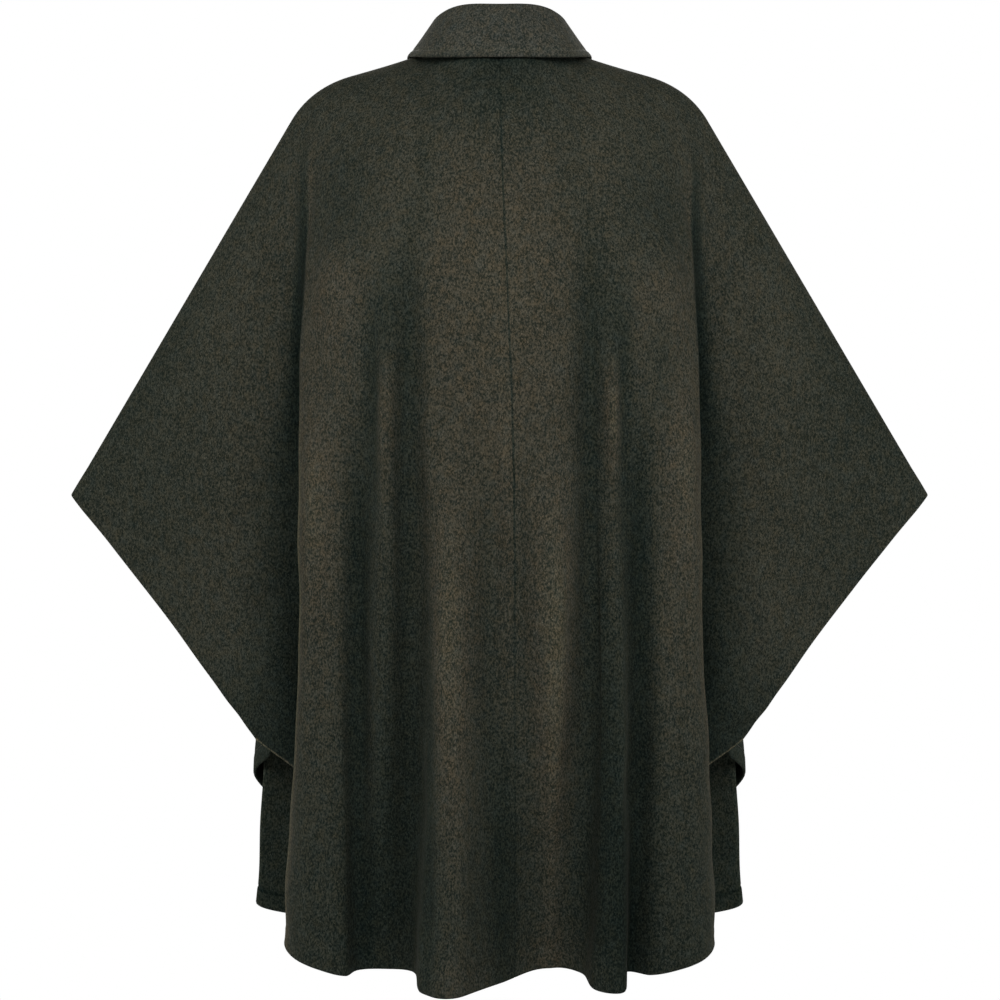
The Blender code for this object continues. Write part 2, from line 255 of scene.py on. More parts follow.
# The centre back seam wanders to the right on its way down.
SeamPoint = namedtuple("SeamPoint", "down x")
CENTRE_SEAM = listed(
    SeamPoint,
    (0.00, 0.0000),
    (0.08, -0.0005),
    (0.15, -0.0028),
    (0.28, -0.0090),
    (0.38, -0.0130),
    (0.60, -0.0150),
    (1.00, -0.0150),
)

# Hanging folds, on top of a drape's main form. Each runs down the cloth from one level to another, is fullest
# at peak, and stands out or lies back by height. Its shade is a painted highlight, or painted shade if
# negative.
Fold = namedtuple("Fold", "x_high x_low from_down peak_down to_down width height shade")
BACK_FOLDS = listed(
    Fold,
    (0.166, 0.172, 0.15, 0.24, 0.34, 0.020, 0.006, 0.16),
    (0.186, 0.188, 0.37, 0.49, 0.66, 0.013, 0.006, 0.26),
    (0.146, 0.143, 0.34, 0.56, 1.40, 0.012, -0.010, -0.68),
    (0.131, 0.128, 0.22, 0.36, 0.72, 0.010, -0.006, -0.50),
    (0.1145, 0.115, 0.32, 0.40, 0.54, 0.007, 0.007, 0.16),
    (0.115, 0.117, 0.36, 0.86, 1.50, 0.016, 0.000, -0.34),
    (0.093, 0.091, 0.13, 0.34, 1.90, 0.015, -0.012, -0.50),
    (0.072, 0.072, 0.48, 0.74, 1.90, 0.009, -0.004, -0.34),
    (0.052, 0.042, 0.42, 0.66, 1.20, 0.014, 0.010, 0.32),
    (0.012, 0.008, 0.40, 0.62, 1.00, 0.011, -0.006, -0.20),
    (-0.003, -0.006, 0.68, 0.88, 1.60, 0.012, 0.000, -0.46),
    (-0.006, -0.006, 0.30, 0.46, 0.66, 0.010, 0.003, 0.10),
    (-0.020, -0.022, 0.38, 0.60, 0.90, 0.010, -0.003, -0.06),
    (-0.052, -0.052, 0.42, 0.66, 1.80, 0.014, 0.010, 0.40),
    (-0.0935, -0.093, 0.13, 0.34, 1.40, 0.016, -0.012, -0.52),
    (-0.1125, -0.114, 0.32, 0.40, 0.50, 0.007, 0.007, 0.40),
    (-0.113, -0.114, 0.48, 0.76, 1.25, 0.018, 0.000, -0.44),
    (-0.1275, -0.127, 0.22, 0.36, 0.80, 0.009, -0.006, -0.44),
    (-0.128, -0.128, 0.76, 0.95, 1.90, 0.010, 0.000, -0.78),
    (-0.144, -0.144, 0.32, 0.54, 1.25, 0.013, -0.010, -0.78),
    (-0.164, -0.172, 0.15, 0.25, 0.35, 0.020, 0.006, 0.08),
    (-0.187, -0.188, 0.32, 0.46, 0.60, 0.014, 0.006, 0.20),
    (0.000, 0.000, 0.06, 0.27, 0.54, 0.072, 0.003, 0.13),
    (0.132, 0.132, 0.78, 0.95, 1.90, 0.009, 0.000, -0.36),
    (-0.163, -0.163, 0.24, 0.33, 0.42, 0.014, 0.000, -0.22),
    (0.076, 0.076, 0.06, 0.16, 0.24, 0.014, 0.000, -0.16),
    (-0.074, -0.074, 0.06, 0.16, 0.24, 0.014, 0.000, -0.12),
    (0.116, 0.116, 0.20, 0.29, 0.37, 0.012, 0.000, -0.34),
    (-0.117, -0.117, 0.20, 0.29, 0.37, 0.014, 0.000, -0.28),
    (0.165, 0.165, 0.06, 0.17, 0.27, 0.042, 0.000, -0.30),
    (-0.165, -0.165, 0.06, 0.17, 0.27, 0.042, 0.000, -0.30),
    (0.000, 0.000, 0.00, 0.05, 0.16, 0.058, 0.000, -0.34),
)
FRONT_LEFT_FOLDS = listed(
    Fold,
    (0.052, 0.056, 0.40, 0.70, 1.60, 0.016, 0.007, 0.22),
    (0.086, 0.086, 0.20, 0.42, 1.90, 0.016, -0.009, -0.50),
    (0.124, 0.128, 0.34, 0.60, 1.50, 0.014, 0.007, 0.24),
    (0.150, 0.152, 0.26, 0.50, 1.80, 0.012, -0.007, -0.42),
    (0.176, 0.182, 0.18, 0.38, 0.80, 0.018, 0.005, 0.20),
    (0.206, 0.214, 0.40, 0.62, 1.70, 0.012, -0.005, -0.34),
)
FRONT_RIGHT_FOLDS = listed(
    Fold,
    (0.047, 0.050, 0.46, 0.74, 1.60, 0.015, 0.006, 0.20),
    (0.080, 0.083, 0.24, 0.46, 1.90, 0.017, -0.010, -0.54),
    (0.112, 0.118, 0.40, 0.66, 1.40, 0.012, 0.007, 0.26),
    (0.141, 0.147, 0.30, 0.52, 1.80, 0.013, -0.008, -0.46),
    (0.172, 0.174, 0.16, 0.36, 0.74, 0.018, 0.005, 0.20),
    (0.212, 0.208, 0.44, 0.66, 1.70, 0.012, -0.005, -0.34),
)

# The hanging folds end towards this station, where the wing begins.
CURTAIN = Ramp(7.8, -0.6)

# The back's outer fold beside each wing: a full crest drawn in below, a painted edge highlight, and painted
# tuck shadow
CREST_STATION = 7.4
CREST_SPREAD = 0.42
CREST_FULLNESS = 0.010
CREST_HANGS = Ramp(0.25, 0.35)
EDGE_STATION = 7.85
EDGE_SPREAD = 0.25
EDGE_SHADE_LEFT = 0.95
EDGE_SHADE_RIGHT = 0.45
EDGE_START = 0.12
EDGE_SHOWS = Ramp(0.05, 0.08)
DRAW_LEFT = -0.006
DRAW_RIGHT = 0.001
DRAW_SPREAD = 0.6
DRAW_BEGINS = Ramp(0.52, 0.18)
DRAW_ENDS = Ramp(0.98, -0.26)
TUCK_X = 0.205
TUCK_REACH_TOP = 0.006
TUCK_REACH_HIGH = 0.013
TUCK_REACH_LOW = 0.042
TUCK_SHADE_HIGH = -1.20
TUCK_SHADE_LOW = -0.58
TUCK_BEHIND = Ramp(EDGE_STATION, 0.25)
TUCK_SHOWS = Ramp(0.05, 0.20)
TUCK_DEEPENS = Ramp(0.14, 0.12)
TUCK_WIDENS = Ramp(0.25, 0.25)

# Painted shade along the centre back seam's groove, fainter at the top and below the waist
SEAM_SHADE = -0.62
SEAM_LINE = Ramp(0.0014, -0.0014)
SEAM_FADE = 0.6
SEAM_FADES_HIGH = Ramp(0.16, -0.10)
SEAM_FADES_LOW = Ramp(0.45, 0.25)

# Broad painted light and shade on the cloth's colour
WING_SHADE = -0.10
WING_SHADED = Ramp(0, 0.2)
# Painted highlight along the wing's hem edge
WING_EDGE_SHADE = 1.3
WING_HEM = Ramp(9, 0.5)
WING_EDGE = Ramp(0.003, -0.003)
YOKE_SHADE = -0.18
YOKE = Ramp(0.16, -0.13)
HEM_SHADE = -0.38
TOWARDS_HEM = Ramp(0.55, 0.45)
HEM_EDGE_SHADE = 0.22
HEM_EDGE = Ramp(0.93, 0.06)
INNER_HEM = Ramp(0.16, -0.04)
# Painted shade along the stitched groove of the fronts' hem
HEM_LINE_SHADE = -0.55
TIP_SHADE = -0.12
TOWARDS_TIP = Ramp(0.28, 0.10)
# Painted light brightening the collar, a paler line along its stitching, and a painted shadow on the cloth
# below its edge
COLLAR_SHADE = 0.14
COLLAR_LINE_SHADE = 0.26
COLLAR_REACH = (0.091, 0.0865)
COLLAR_SHADOW = -0.60
COLLAR_SHADOW_SPREAD = 0.03
UNDER_COLLAR = Ramp(0.12, -0.05)
# Painted tints: cooler light on the collar, greener shade on the fronts
COLLAR_LIGHT_TINT = (0.92, 1.00, 1.12)
FRONT_SHADE_TINT = (0.95, 1.03, 1.03)

# Soft creases laid in from one place on a drape to another. Stations count from the drape's
# middle line, positive to the wearer's left. A positive height is a ridge and a negative one a trough.
Crease = namedtuple("Crease", "from_station from_down to_station to_down bow width height")

# A crease moves nothing further than this many stations past its ends, and fades out towards them.
CREASE_STATIONS = 2
CREASE_FADE = 0.8
CREASE_POINTS = 14

BACK_CREASES = listed(
    Crease,
    (7.2, 0.10, 8.6, 0.26, 0.10, 0.009, -0.0030),
    (6.6, 0.12, 7.7, 0.24, -0.10, 0.008, -0.0022),
    (-7.2, 0.10, -8.6, 0.27, -0.10, 0.009, -0.0030),
    (-6.6, 0.13, -7.8, 0.25, 0.10, 0.008, -0.0022),
    (5.0, 0.10, 6.6, 0.20, 0.15, 0.014, -0.0016),
    (-4.8, 0.09, -6.6, 0.19, -0.15, 0.014, -0.0016),
    (12.4, 0.52, 11.2, 0.40, 0.05, 0.016, -0.0022),
    (-12.4, 0.50, -11.3, 0.36, -0.05, 0.016, -0.0020),
    (12.2, 0.66, 11.5, 0.60, 0.05, 0.012, -0.0024),
    (-12.3, 0.70, -11.6, 0.62, -0.05, 0.012, -0.0024),
)

FRONT_CREASES = listed(
    Crease,
    (6.6, 0.10, 8.2, 0.24, 0.10, 0.010, -0.0028),
    (5.6, 0.10, 6.6, 0.20, -0.10, 0.011, -0.0018),
    (2.4, 0.16, 3.6, 0.34, 0.10, 0.014, -0.0015),
    (12.4, 0.52, 11.4, 0.42, 0.05, 0.016, -0.0020),
)

# Slow unevenness of the hanging cloth: waves per metre across and down, and how far they move it
Ripple = namedtuple("Ripple", "across down phase height")
RIPPLES = listed(
    Ripple,
    (3.1, 1.7, 0.4, 0.0010),
    (7.3, 2.9, 2.1, 0.0006),
    (11.9, 5.3, 4.4, 0.0004),
    (5.1, 9.7, 1.3, 0.0004),
)

# The ripples start below the top seam, and lie a little flatter at the hem.
RIPPLE_START = Ramp(0, 0.03)
HEM_RIPPLE = 0.02

# Noise in a material: how fine, how detailed, how far it is drawn out along Z, and its turn about Y
Grain = namedtuple("Grain", "scale detail drawn turn", defaults=(1.0, 0.0))
FIBRES = (Grain(600, 1.6, 1.6), Grain(900, 1.2, 2.6, 0.45), Grain(900, 1.2, 2.6, -0.55))
FIBRE_SHARES = (0.60, 0.20, 0.20)
TUFTS = Grain(165, 2.0, 1.25)
CLOUDS = Grain(42, 3.0)
PATCHES = Grain(6, 2.0)
BRIGHT_HAIRS = Grain(1100, 1.0, 2.0, 0.2)
HUES = Grain(125, 2.0, 1.25)
TWIST = Grain(2600, 1.0)
HORN_STREAKS = Grain(95, 4.0, 4.5, 0.6)
HORN_CLOUDS = Grain(160, 2.0)

# How far the slow noises move the fibre's mix and its hue, and how painted shade cools the colour and painted
# light warms it
TUFT_SWING = 0.09
CLOUD_SWING = 0.08
PATCH_SWING = 0.08
HUE_SWING = 0.34
WARMTH = 0.52
WARMTH_LIMIT = 1.04
COOLNESS = 0.15

# The values of a noise that are laid onto a colour, or onto the roughness given after them
BROWN_RANGE = (0.37, 0.67)
BRIGHT_RANGE = (0.64, 0.76)
NAP_ROUGHNESS = (0.2, 0.8, 0.86, 1.0)
HORN_RANGE = (0.48, 0.72)
HORN_ROUGHNESS = (0.3, 0.8, 0.22, 0.42)

# Strength and depth of bumps
NAP_BUMP = (0.55, 0.0011)
HORN_BUMP = (0.2, 0.0004)

# Colours, and the settings of the cloth's shader
GREEN_BLACK = (0.0130, 0.0165, 0.0125)
WARM_BROWN = (0.0660, 0.0605, 0.0430)
BRIGHT_FIBRE = (0.100, 0.092, 0.070)
THREAD_DARK = (0.022, 0.021, 0.015, 1)
THREAD_PALE = (0.075, 0.066, 0.045, 1)
HORN_DARK = (0.014, 0.009, 0.006, 1)
HORN_PALE = (0.115, 0.066, 0.030, 1)
FLOOR_GREY = (0.55, 0.55, 0.55, 1)
LODEN_SHADER = {
    "Specular IOR Level": 0.02,
    "Sheen Weight": 0.03,
    "Sheen Roughness": 0.55,
    "Sheen Tint": (0.55, 0.48, 0.36, 1),
}

# Studio: each lamp stands on both sides of the cape
ROOM_FILL = 0.04
FLOOR_LEVEL = -1.42
FLOOR_RADIUS = 1.75
FLOOR_SIDES = 128
LAMP_SIZE = 1.0
LAMP_AIM = (0, 0, -0.35)
Lamp = namedtuple("Lamp", "name x y z watts")
LAMPS = listed(
    Lamp,
    ("back key", 0.82, 2.04, 0.80, 23),
    ("back fill", 1.56, 1.56, 0.30, 11),
    ("side", 2.20, 0.00, -0.70, 17),
    ("front key", 0.82, -2.04, 0.80, 23),
    ("front fill", 1.56, -1.56, 0.30, 11),
)

# Mesh fineness
COLUMNS_A_STATION = 12
CLOTH_ROWS = 120
ROW_CROWDING = 0.09
ROW_POWER = 1.15
HEM_ROWS = (0.0240, 0.0222, 0.0208, 0.0194, 0.0180, 0.0166, 0.0150, 0.0030, 0.0016)
SEAM_COLUMNS = (0.012, 0.026, 0.044)
CENTRE_STATION_WIDTH = 0.05
CENTRE_TRIES = 81
COLLAR_COLUMNS = 180
COLLAR_POINT_COLUMNS = 4
STAND_ROWS = 8
ROLL_ROWS = 10
FALL_ROWS = 40
RIM_STEPS = 4


def unit(vectors):
    return vectors / np.linalg.norm(vectors, axis=-1, keepdims=True)


def stacked(x, y, z):
    return np.stack(np.broadcast_arrays(x, y, z), axis=-1).astype(float)


def ramp(value, over):
    """How much of what a ramp brings in there is at this value, from 0 to 1."""
    share = np.clip((value - over.start) / over.width, 0, 1)
    return share * share * (3 - 2 * share)


def bell(value, width):
    """1 where the value is 0, falling away on both sides."""
    return np.exp(-((value / width) ** 2))


def blend(first, second, share):
    return first + (second - first) * share


def circle(radius, sides):
    turns = np.linspace(0, 2 * math.pi, sides, endpoint=False)
    return [(radius * math.cos(turn), radius * math.sin(turn)) for turn in turns]


def in_scene(name, data):
    thing = bpy.data.objects.new(name, data)
    bpy.context.scene.collection.objects.link(thing)
    return thing


def hermite(start, leave, end, arrive, width, t):
    """A smooth step from start to end over width, with the slopes at both ends given."""
    return (
        start * (1 + 2 * t) * (1 - t) ** 2
        + leave * width * t * (1 - t) ** 2
        + end * t * t * (3 - 2 * t)
        + arrive * width * t * t * (t - 1)
    )


def spline(knots, values, at):
    """A smooth curve through rows of values at uneven knots, for an array of places."""
    knots = np.asarray(knots, float)
    values = np.asarray(values, float).reshape(len(knots), -1)
    steps = np.diff(knots)[:, None]
    rises = np.diff(values, axis=0) / steps
    slopes = np.empty_like(values)
    slopes[0] = rises[0]
    slopes[-1] = rises[-1]
    slopes[1:-1] = (rises[:-1] * steps[1:] + rises[1:] * steps[:-1]) / (steps[:-1] + steps[1:])
    at = np.asarray(at, float)
    span = np.clip(np.searchsorted(knots, at) - 1, 0, len(knots) - 2)
    width = steps[span]
    t = (at[..., None] - knots[span][..., None]) / width
    return hermite(values[span], slopes[span], values[span + 1], slopes[span + 1], width, t)


def neck_ring(angle):
    """Points of the neck seam: angle 0 is the centre back, pi the centre front, positive to the left."""
    back = np.cos(angle)
    depth = np.where(back > 0, NECK_BACK, NECK_FRONT)
    rise = np.where(back > 0, NECK_RISE_BACK, NECK_DROP_FRONT)
    return stacked(NECK_HALF_WIDTH * np.sin(angle), depth * back, NECK_POINT_Z + rise * back)


def overarm(distance):
    """Points of the left overarm seam, at these distances from the neck point."""
    neck = neck_ring(np.array(math.pi / 2))
    corner = np.array(SHOULDER)
    tip = np.array(WING_TIP)
    along = unit(corner - neck)
    down = unit(tip - corner)
    straight = np.linalg.norm(corner - neck) - ROUND_BEFORE
    rounded = ROUND_BEFORE + ROUND_AFTER
    distance = np.asarray(distance, float)[..., None]
    t = np.clip((distance - straight) / rounded, 0, 1)
    start = corner - along * ROUND_BEFORE
    end = corner + down * ROUND_AFTER
    bend = start * (1 - t) ** 2 + corner * 2 * t * (1 - t) + end * t * t
    reach = np.linalg.norm(tip - corner)
    arm = corner + down * np.minimum(distance - straight - ROUND_BEFORE, reach)
    shoulder = neck + along * distance
    return np.where(distance < straight, shoulder, np.where(distance < straight + rounded, bend, arm))


def top_seam(distance, neck_arc, from_angle, to_angle, apart):
    """A panel's top edge: the neck seam from the centre, then the overarm seam, on either side."""
    away = np.abs(distance)
    angle = from_angle + np.clip(away / neck_arc, 0, 1) * (to_angle - from_angle)
    arm = overarm(np.maximum(away - neck_arc, 0)) + np.array((0, apart, 0))
    points = np.where((away < neck_arc)[..., None], neck_ring(angle), arm)
    side = np.where(distance < 0, -1.0, 1.0)
    return points * stacked(side, 1, 1)


def back_seam(distance):
    return top_seam(distance, BACK_NECK_ARC, 0, math.pi / 2, SEAM_GAP / 2)


def front_seam(distance):
    return top_seam(distance, FRONT_NECK_ARC, math.pi, math.pi / 2, -SEAM_GAP / 2)


class Drape:
    """A hanging cloth surface, through the stations across and the seam, chest, waist and hem down."""

    def __init__(self, stations, sides, middle, seam_line, facing):
        self.seam_line = seam_line
        self.facing = facing
        self.middle = middle
        self.table = np.array(stations)
        sideways = [Station._fields.index(name) for name in ("seam", "chest_x", "waist_x", "hem_x")]
        self.table[:, sideways] *= np.array(sides)[:, None]
        steps = np.linalg.norm(np.diff(self.table[:, -3:], axis=0), axis=1) ** KNOT_POWER
        self.knots = np.concatenate(([0], np.cumsum(steps)))

    def knot(self, station):
        """The knot at a station counted from the drape's middle line."""
        return np.interp(np.asarray(station) + self.middle, range(len(self.knots)), self.knots)

    def station(self, knot):
        return np.interp(knot, self.knots, range(len(self.knots))) - self.middle

    def away(self, distance):
        """The level direction in which the cloth leaves its top seam."""
        across = self.seam_line(distance + SEAM_WINDOW) - self.seam_line(distance - SEAM_WINDOW)
        level = unit(stacked(-across[..., 1], across[..., 0], 0))
        return level * np.array((SEAM_SPREAD * self.facing, self.facing, 0))

    def fold_line(self, knot, down):
        line = Station(*np.moveaxis(spline(self.knots, self.table, knot), -1, 0))
        top = self.seam_line(line.seam)
        fall = line.hem_z - top[..., 2]
        chest = stacked(line.chest_x, line.chest_y, top[..., 2] + fall * CHEST_LEVEL)
        waist = stacked(line.waist_x, line.waist_y, top[..., 2] + fall * WAIST_LEVEL)
        hem = stacked(line.hem_x, line.hem_y, line.hem_z)
        reach = np.abs(chest[..., 1] - top[..., 1])[..., None]
        leave = self.away(line.seam) * (SEAM_BULGE + reach * reach * SHOULDER_SQUARENESS) / CHEST_LEVEL
        at_chest = (waist - top) / WAIST_LEVEL
        at_waist = (hem - chest) / (1 - CHEST_LEVEL)
        at_hem = (hem - waist) / (1 - WAIST_LEVEL)
        down = down[..., None]
        levels = (0, CHEST_LEVEL, WAIST_LEVEL, 1)
        ends = tuple(zip(levels, (top, chest, waist, hem), (leave, at_chest, at_waist, at_hem)))
        spans = []
        for (high, start, leaving), (low, end, arriving) in zip(ends[:-1], ends[1:]):
            width = low - high
            spans.append(hermite(start, leaving, end, arriving, width, (down - high) / width))
        upper, middle, lower = spans
        return np.where(down < CHEST_LEVEL, upper, np.where(down < WAIST_LEVEL, middle, lower))

    def points(self, knot, down):
        """The cloth's middle surface, from 0 at the seam to 1 at the hem, eased below the neck's corners."""
        knot, down = np.broadcast_arrays(np.asarray(knot, float), np.asarray(down, float))
        share = np.minimum(down / NECK_EASE_DEPTH, 1)
        reach = NECK_EASE * share * (1 - share) ** 2 / HUMP_PEAK
        room = np.minimum(knot - self.knots[0], self.knots[-1] - knot) / 2
        reach = np.maximum(np.minimum(reach, room), 0)
        near = self.fold_line(knot - reach, down) + self.fold_line(knot + reach, down)
        far = self.fold_line(knot - 2 * reach, down) + self.fold_line(knot + 2 * reach, down)
        return (self.fold_line(knot, down) * 6 + near * 4 + far) / 16


def back_drape():
    left = (CENTRE_BACK,) + BACK_LEFT_FOLDS + BACK_WING
    right = BACK_RIGHT_FOLDS + BACK_WING
    stations = tuple(reversed(right)) + left
    sides = (-1,) * len(right) + (1,) * len(left)
    return Drape(stations, sides, len(right), back_seam, 1)


def front_drape():
    stations = FRONT_FOLDS + FRONT_WING
    return Drape(stations, (1,) * len(stations), 0, front_seam, -1)


def grid_normals(points, facing):
    """Outward directions of a grid of points, its columns first."""
    across = np.gradient(points, axis=0)
    along = np.gradient(points, axis=1)
    return unit(np.cross(across, along)) * facing


def lengths_along(points, axis):
    """How far each point of a grid lies along the cloth from its first edge on this axis."""
    steps = np.linalg.norm(np.diff(points, axis=axis), axis=-1)
    first = np.zeros_like(np.take(steps, [0], axis=axis))
    return np.concatenate((first, np.cumsum(steps, axis=axis)), axis=axis)


def crease_height(drape, creases, points, stations):
    """How far the listed creases move each point of a grid."""
    moved = np.zeros(points.shape[:2])
    along = np.linspace(0, 1, CREASE_POINTS)
    for crease in creases:
        ends = (crease.from_station, crease.to_station)
        station = blend(*ends, along) + crease.bow * np.sin(along * math.pi)
        path = drape.points(drape.knot(station), blend(crease.from_down, crease.to_down, along))
        near = np.full(points.shape[:2], np.inf)
        share = np.zeros(points.shape[:2])
        for number in range(len(path) - 1):
            start = path[number]
            run = path[number + 1] - start
            t = np.clip(((points - start) @ run) / (run @ run), 0, 1)
            gap = np.linalg.norm(points - start - t[..., None] * run, axis=-1)
            closer = gap < near
            near = np.where(closer, gap, near)
            share = np.where(closer, (number + t) / (len(path) - 1), share)
        beside = (stations > min(ends) - CREASE_STATIONS) & (stations < max(ends) + CREASE_STATIONS)
        fade = np.sin(share * math.pi) ** CREASE_FADE
        moved = moved + crease.height * bell(near, crease.width) * fade * beside
    return moved


def fold_height(folds, points, downs):
    """How far the hanging folds move each point of a grid, and the painted highlight or shade they lay on its
    colour.
    """
    moved = np.zeros(points.shape[:2])
    shade = np.zeros(points.shape[:2])
    for fold in folds:
        run = (downs - fold.from_down) / (fold.to_down - fold.from_down)
        middle = blend(fold.x_high, fold.x_low, np.clip(run, 0, 1))
        rise = ramp(downs, Ramp(fold.from_down, fold.peak_down - fold.from_down))
        fade = ramp(downs, Ramp(fold.to_down, fold.peak_down - fold.to_down))
        fullness = bell(points[..., 0] - middle, fold.width) * rise * fade
        moved = moved + fold.height * fullness
        shade = shade + fold.shade * fullness
    return moved, shade


def outer_fold(points, downs, beside):
    """The back's outer fold: how far it moves each point in plan, a painted highlight on its edge and painted
    shadow on its tuck.
    """
    left = points[..., 0] > 0
    from_edge = beside - EDGE_STATION
    hanging = ramp(downs, CREST_HANGS)
    crest = CREST_FULLNESS * bell(beside - CREST_STATION, CREST_SPREAD) * hanging
    drawn = np.where(left, DRAW_LEFT, DRAW_RIGHT) * bell(from_edge, DRAW_SPREAD)
    drawn = drawn * ramp(downs, DRAW_BEGINS) * ramp(downs, DRAW_ENDS)
    shown = blend(EDGE_START, 1, hanging) * ramp(downs, EDGE_SHOWS)
    edge = np.where(left, EDGE_SHADE_LEFT, EDGE_SHADE_RIGHT) * bell(from_edge, EDGE_SPREAD) * shown
    lower = ramp(downs, TUCK_WIDENS)
    reach = blend(TUCK_REACH_TOP, TUCK_REACH_HIGH, ramp(downs, TUCK_DEEPENS))
    reach = reach + (TUCK_REACH_LOW - TUCK_REACH_HIGH) * lower
    behind = bell(np.maximum(np.abs(points[..., 0]) - TUCK_X, 0), reach)
    tuck = blend(TUCK_SHADE_HIGH, TUCK_SHADE_LOW, lower) * behind
    tuck = tuck * ramp(beside, TUCK_BEHIND) * ramp(downs, TUCK_SHOWS)
    return stacked(drawn, crest, 0), edge + tuck


def ripple_height(across, down):
    moved = np.zeros_like(across)
    for ripple in RIPPLES:
        turn = 2 * math.pi * (ripple.across * across + ripple.down * down) + ripple.phase
        moved = moved + ripple.height * np.sin(turn)
    return moved


def shell(name, points, normals, halves, inner_halves, shade, material):
    """A closed wall of cloth over a grid of points, with rounded edges and painted light and shade at each
    point.
    """
    columns, rows = points.shape[:2]
    halves = halves[..., None]
    outer = (points + normals * halves).reshape(-1, 3)
    inner = (points - normals * inner_halves[..., None]).reshape(-1, 3)
    count = columns * rows
    index = np.arange(count).reshape(columns, rows)
    cells = (index[:-1, :-1], index[1:, :-1], index[1:, 1:], index[:-1, 1:])
    quads = np.stack([cell.ravel() for cell in cells], axis=-1)

    rim = np.concatenate((index[:-1, 0], index[-1, :-1], index[:0:-1, -1], index[0, :0:-1]))
    inward = np.concatenate((index[:-1, 1], index[-2, :-1], index[:0:-1, -2], index[1, :0:-1]))
    flat_points = points.reshape(-1, 3)
    flat_normals = normals.reshape(-1, 3)
    flat_halves = halves.reshape(-1, 1)
    edge = flat_points[rim] - flat_points[inward]
    around = flat_points[np.roll(rim, -1)] - flat_points[np.roll(rim, 1)]
    outwards = np.cross(around, flat_normals[rim])
    outwards = unit(outwards * np.sign(np.sum(outwards * edge, axis=-1, keepdims=True)))

    vertices = [outer, inner]
    rings = [rim]
    turns = np.linspace(0, math.pi, RIM_STEPS + 1)[1:-1]
    for step, turn in enumerate(turns):
        round_edge = flat_normals[rim] * math.cos(turn) + outwards * math.sin(turn)
        vertices.append(flat_points[rim] + round_edge * flat_halves[rim])
        rings.append(2 * count + step * len(rim) + np.arange(len(rim)))
    rings.append(rim + count)
    bands = []
    for ring, following in zip(rings[:-1], rings[1:]):
        bands.append(np.stack((ring, np.roll(ring, -1), np.roll(following, -1), following), axis=-1))
    edge_quads = np.concatenate(bands)

    first = outer[quads[0]]
    up = np.cross(first[1] - first[0], first[3] - first[0])
    if np.dot(up, flat_normals[0]) > 0:
        faces = np.concatenate((quads, quads[:, ::-1] + count, edge_quads[:, ::-1]))
    else:
        faces = np.concatenate((quads[:, ::-1], quads + count, edge_quads))
    source = np.concatenate((np.arange(count), np.arange(count), *([rim] * len(turns))))

    mesh = bpy.data.meshes.new(name)
    mesh.from_pydata(np.concatenate(vertices).tolist(), [], faces.tolist())
    mesh.polygons.foreach_set("use_smooth", np.ones(len(mesh.polygons), bool))
    # Painted light and shade, passed to the material at each point
    painted_shading = mesh.attributes.new("painted_light_and_shade", "FLOAT", "POINT")
    painted_shading.data.foreach_set("value", shade.ravel()[source].astype(np.float32))
    mesh.materials.append(material)
    return in_scene(name, mesh)


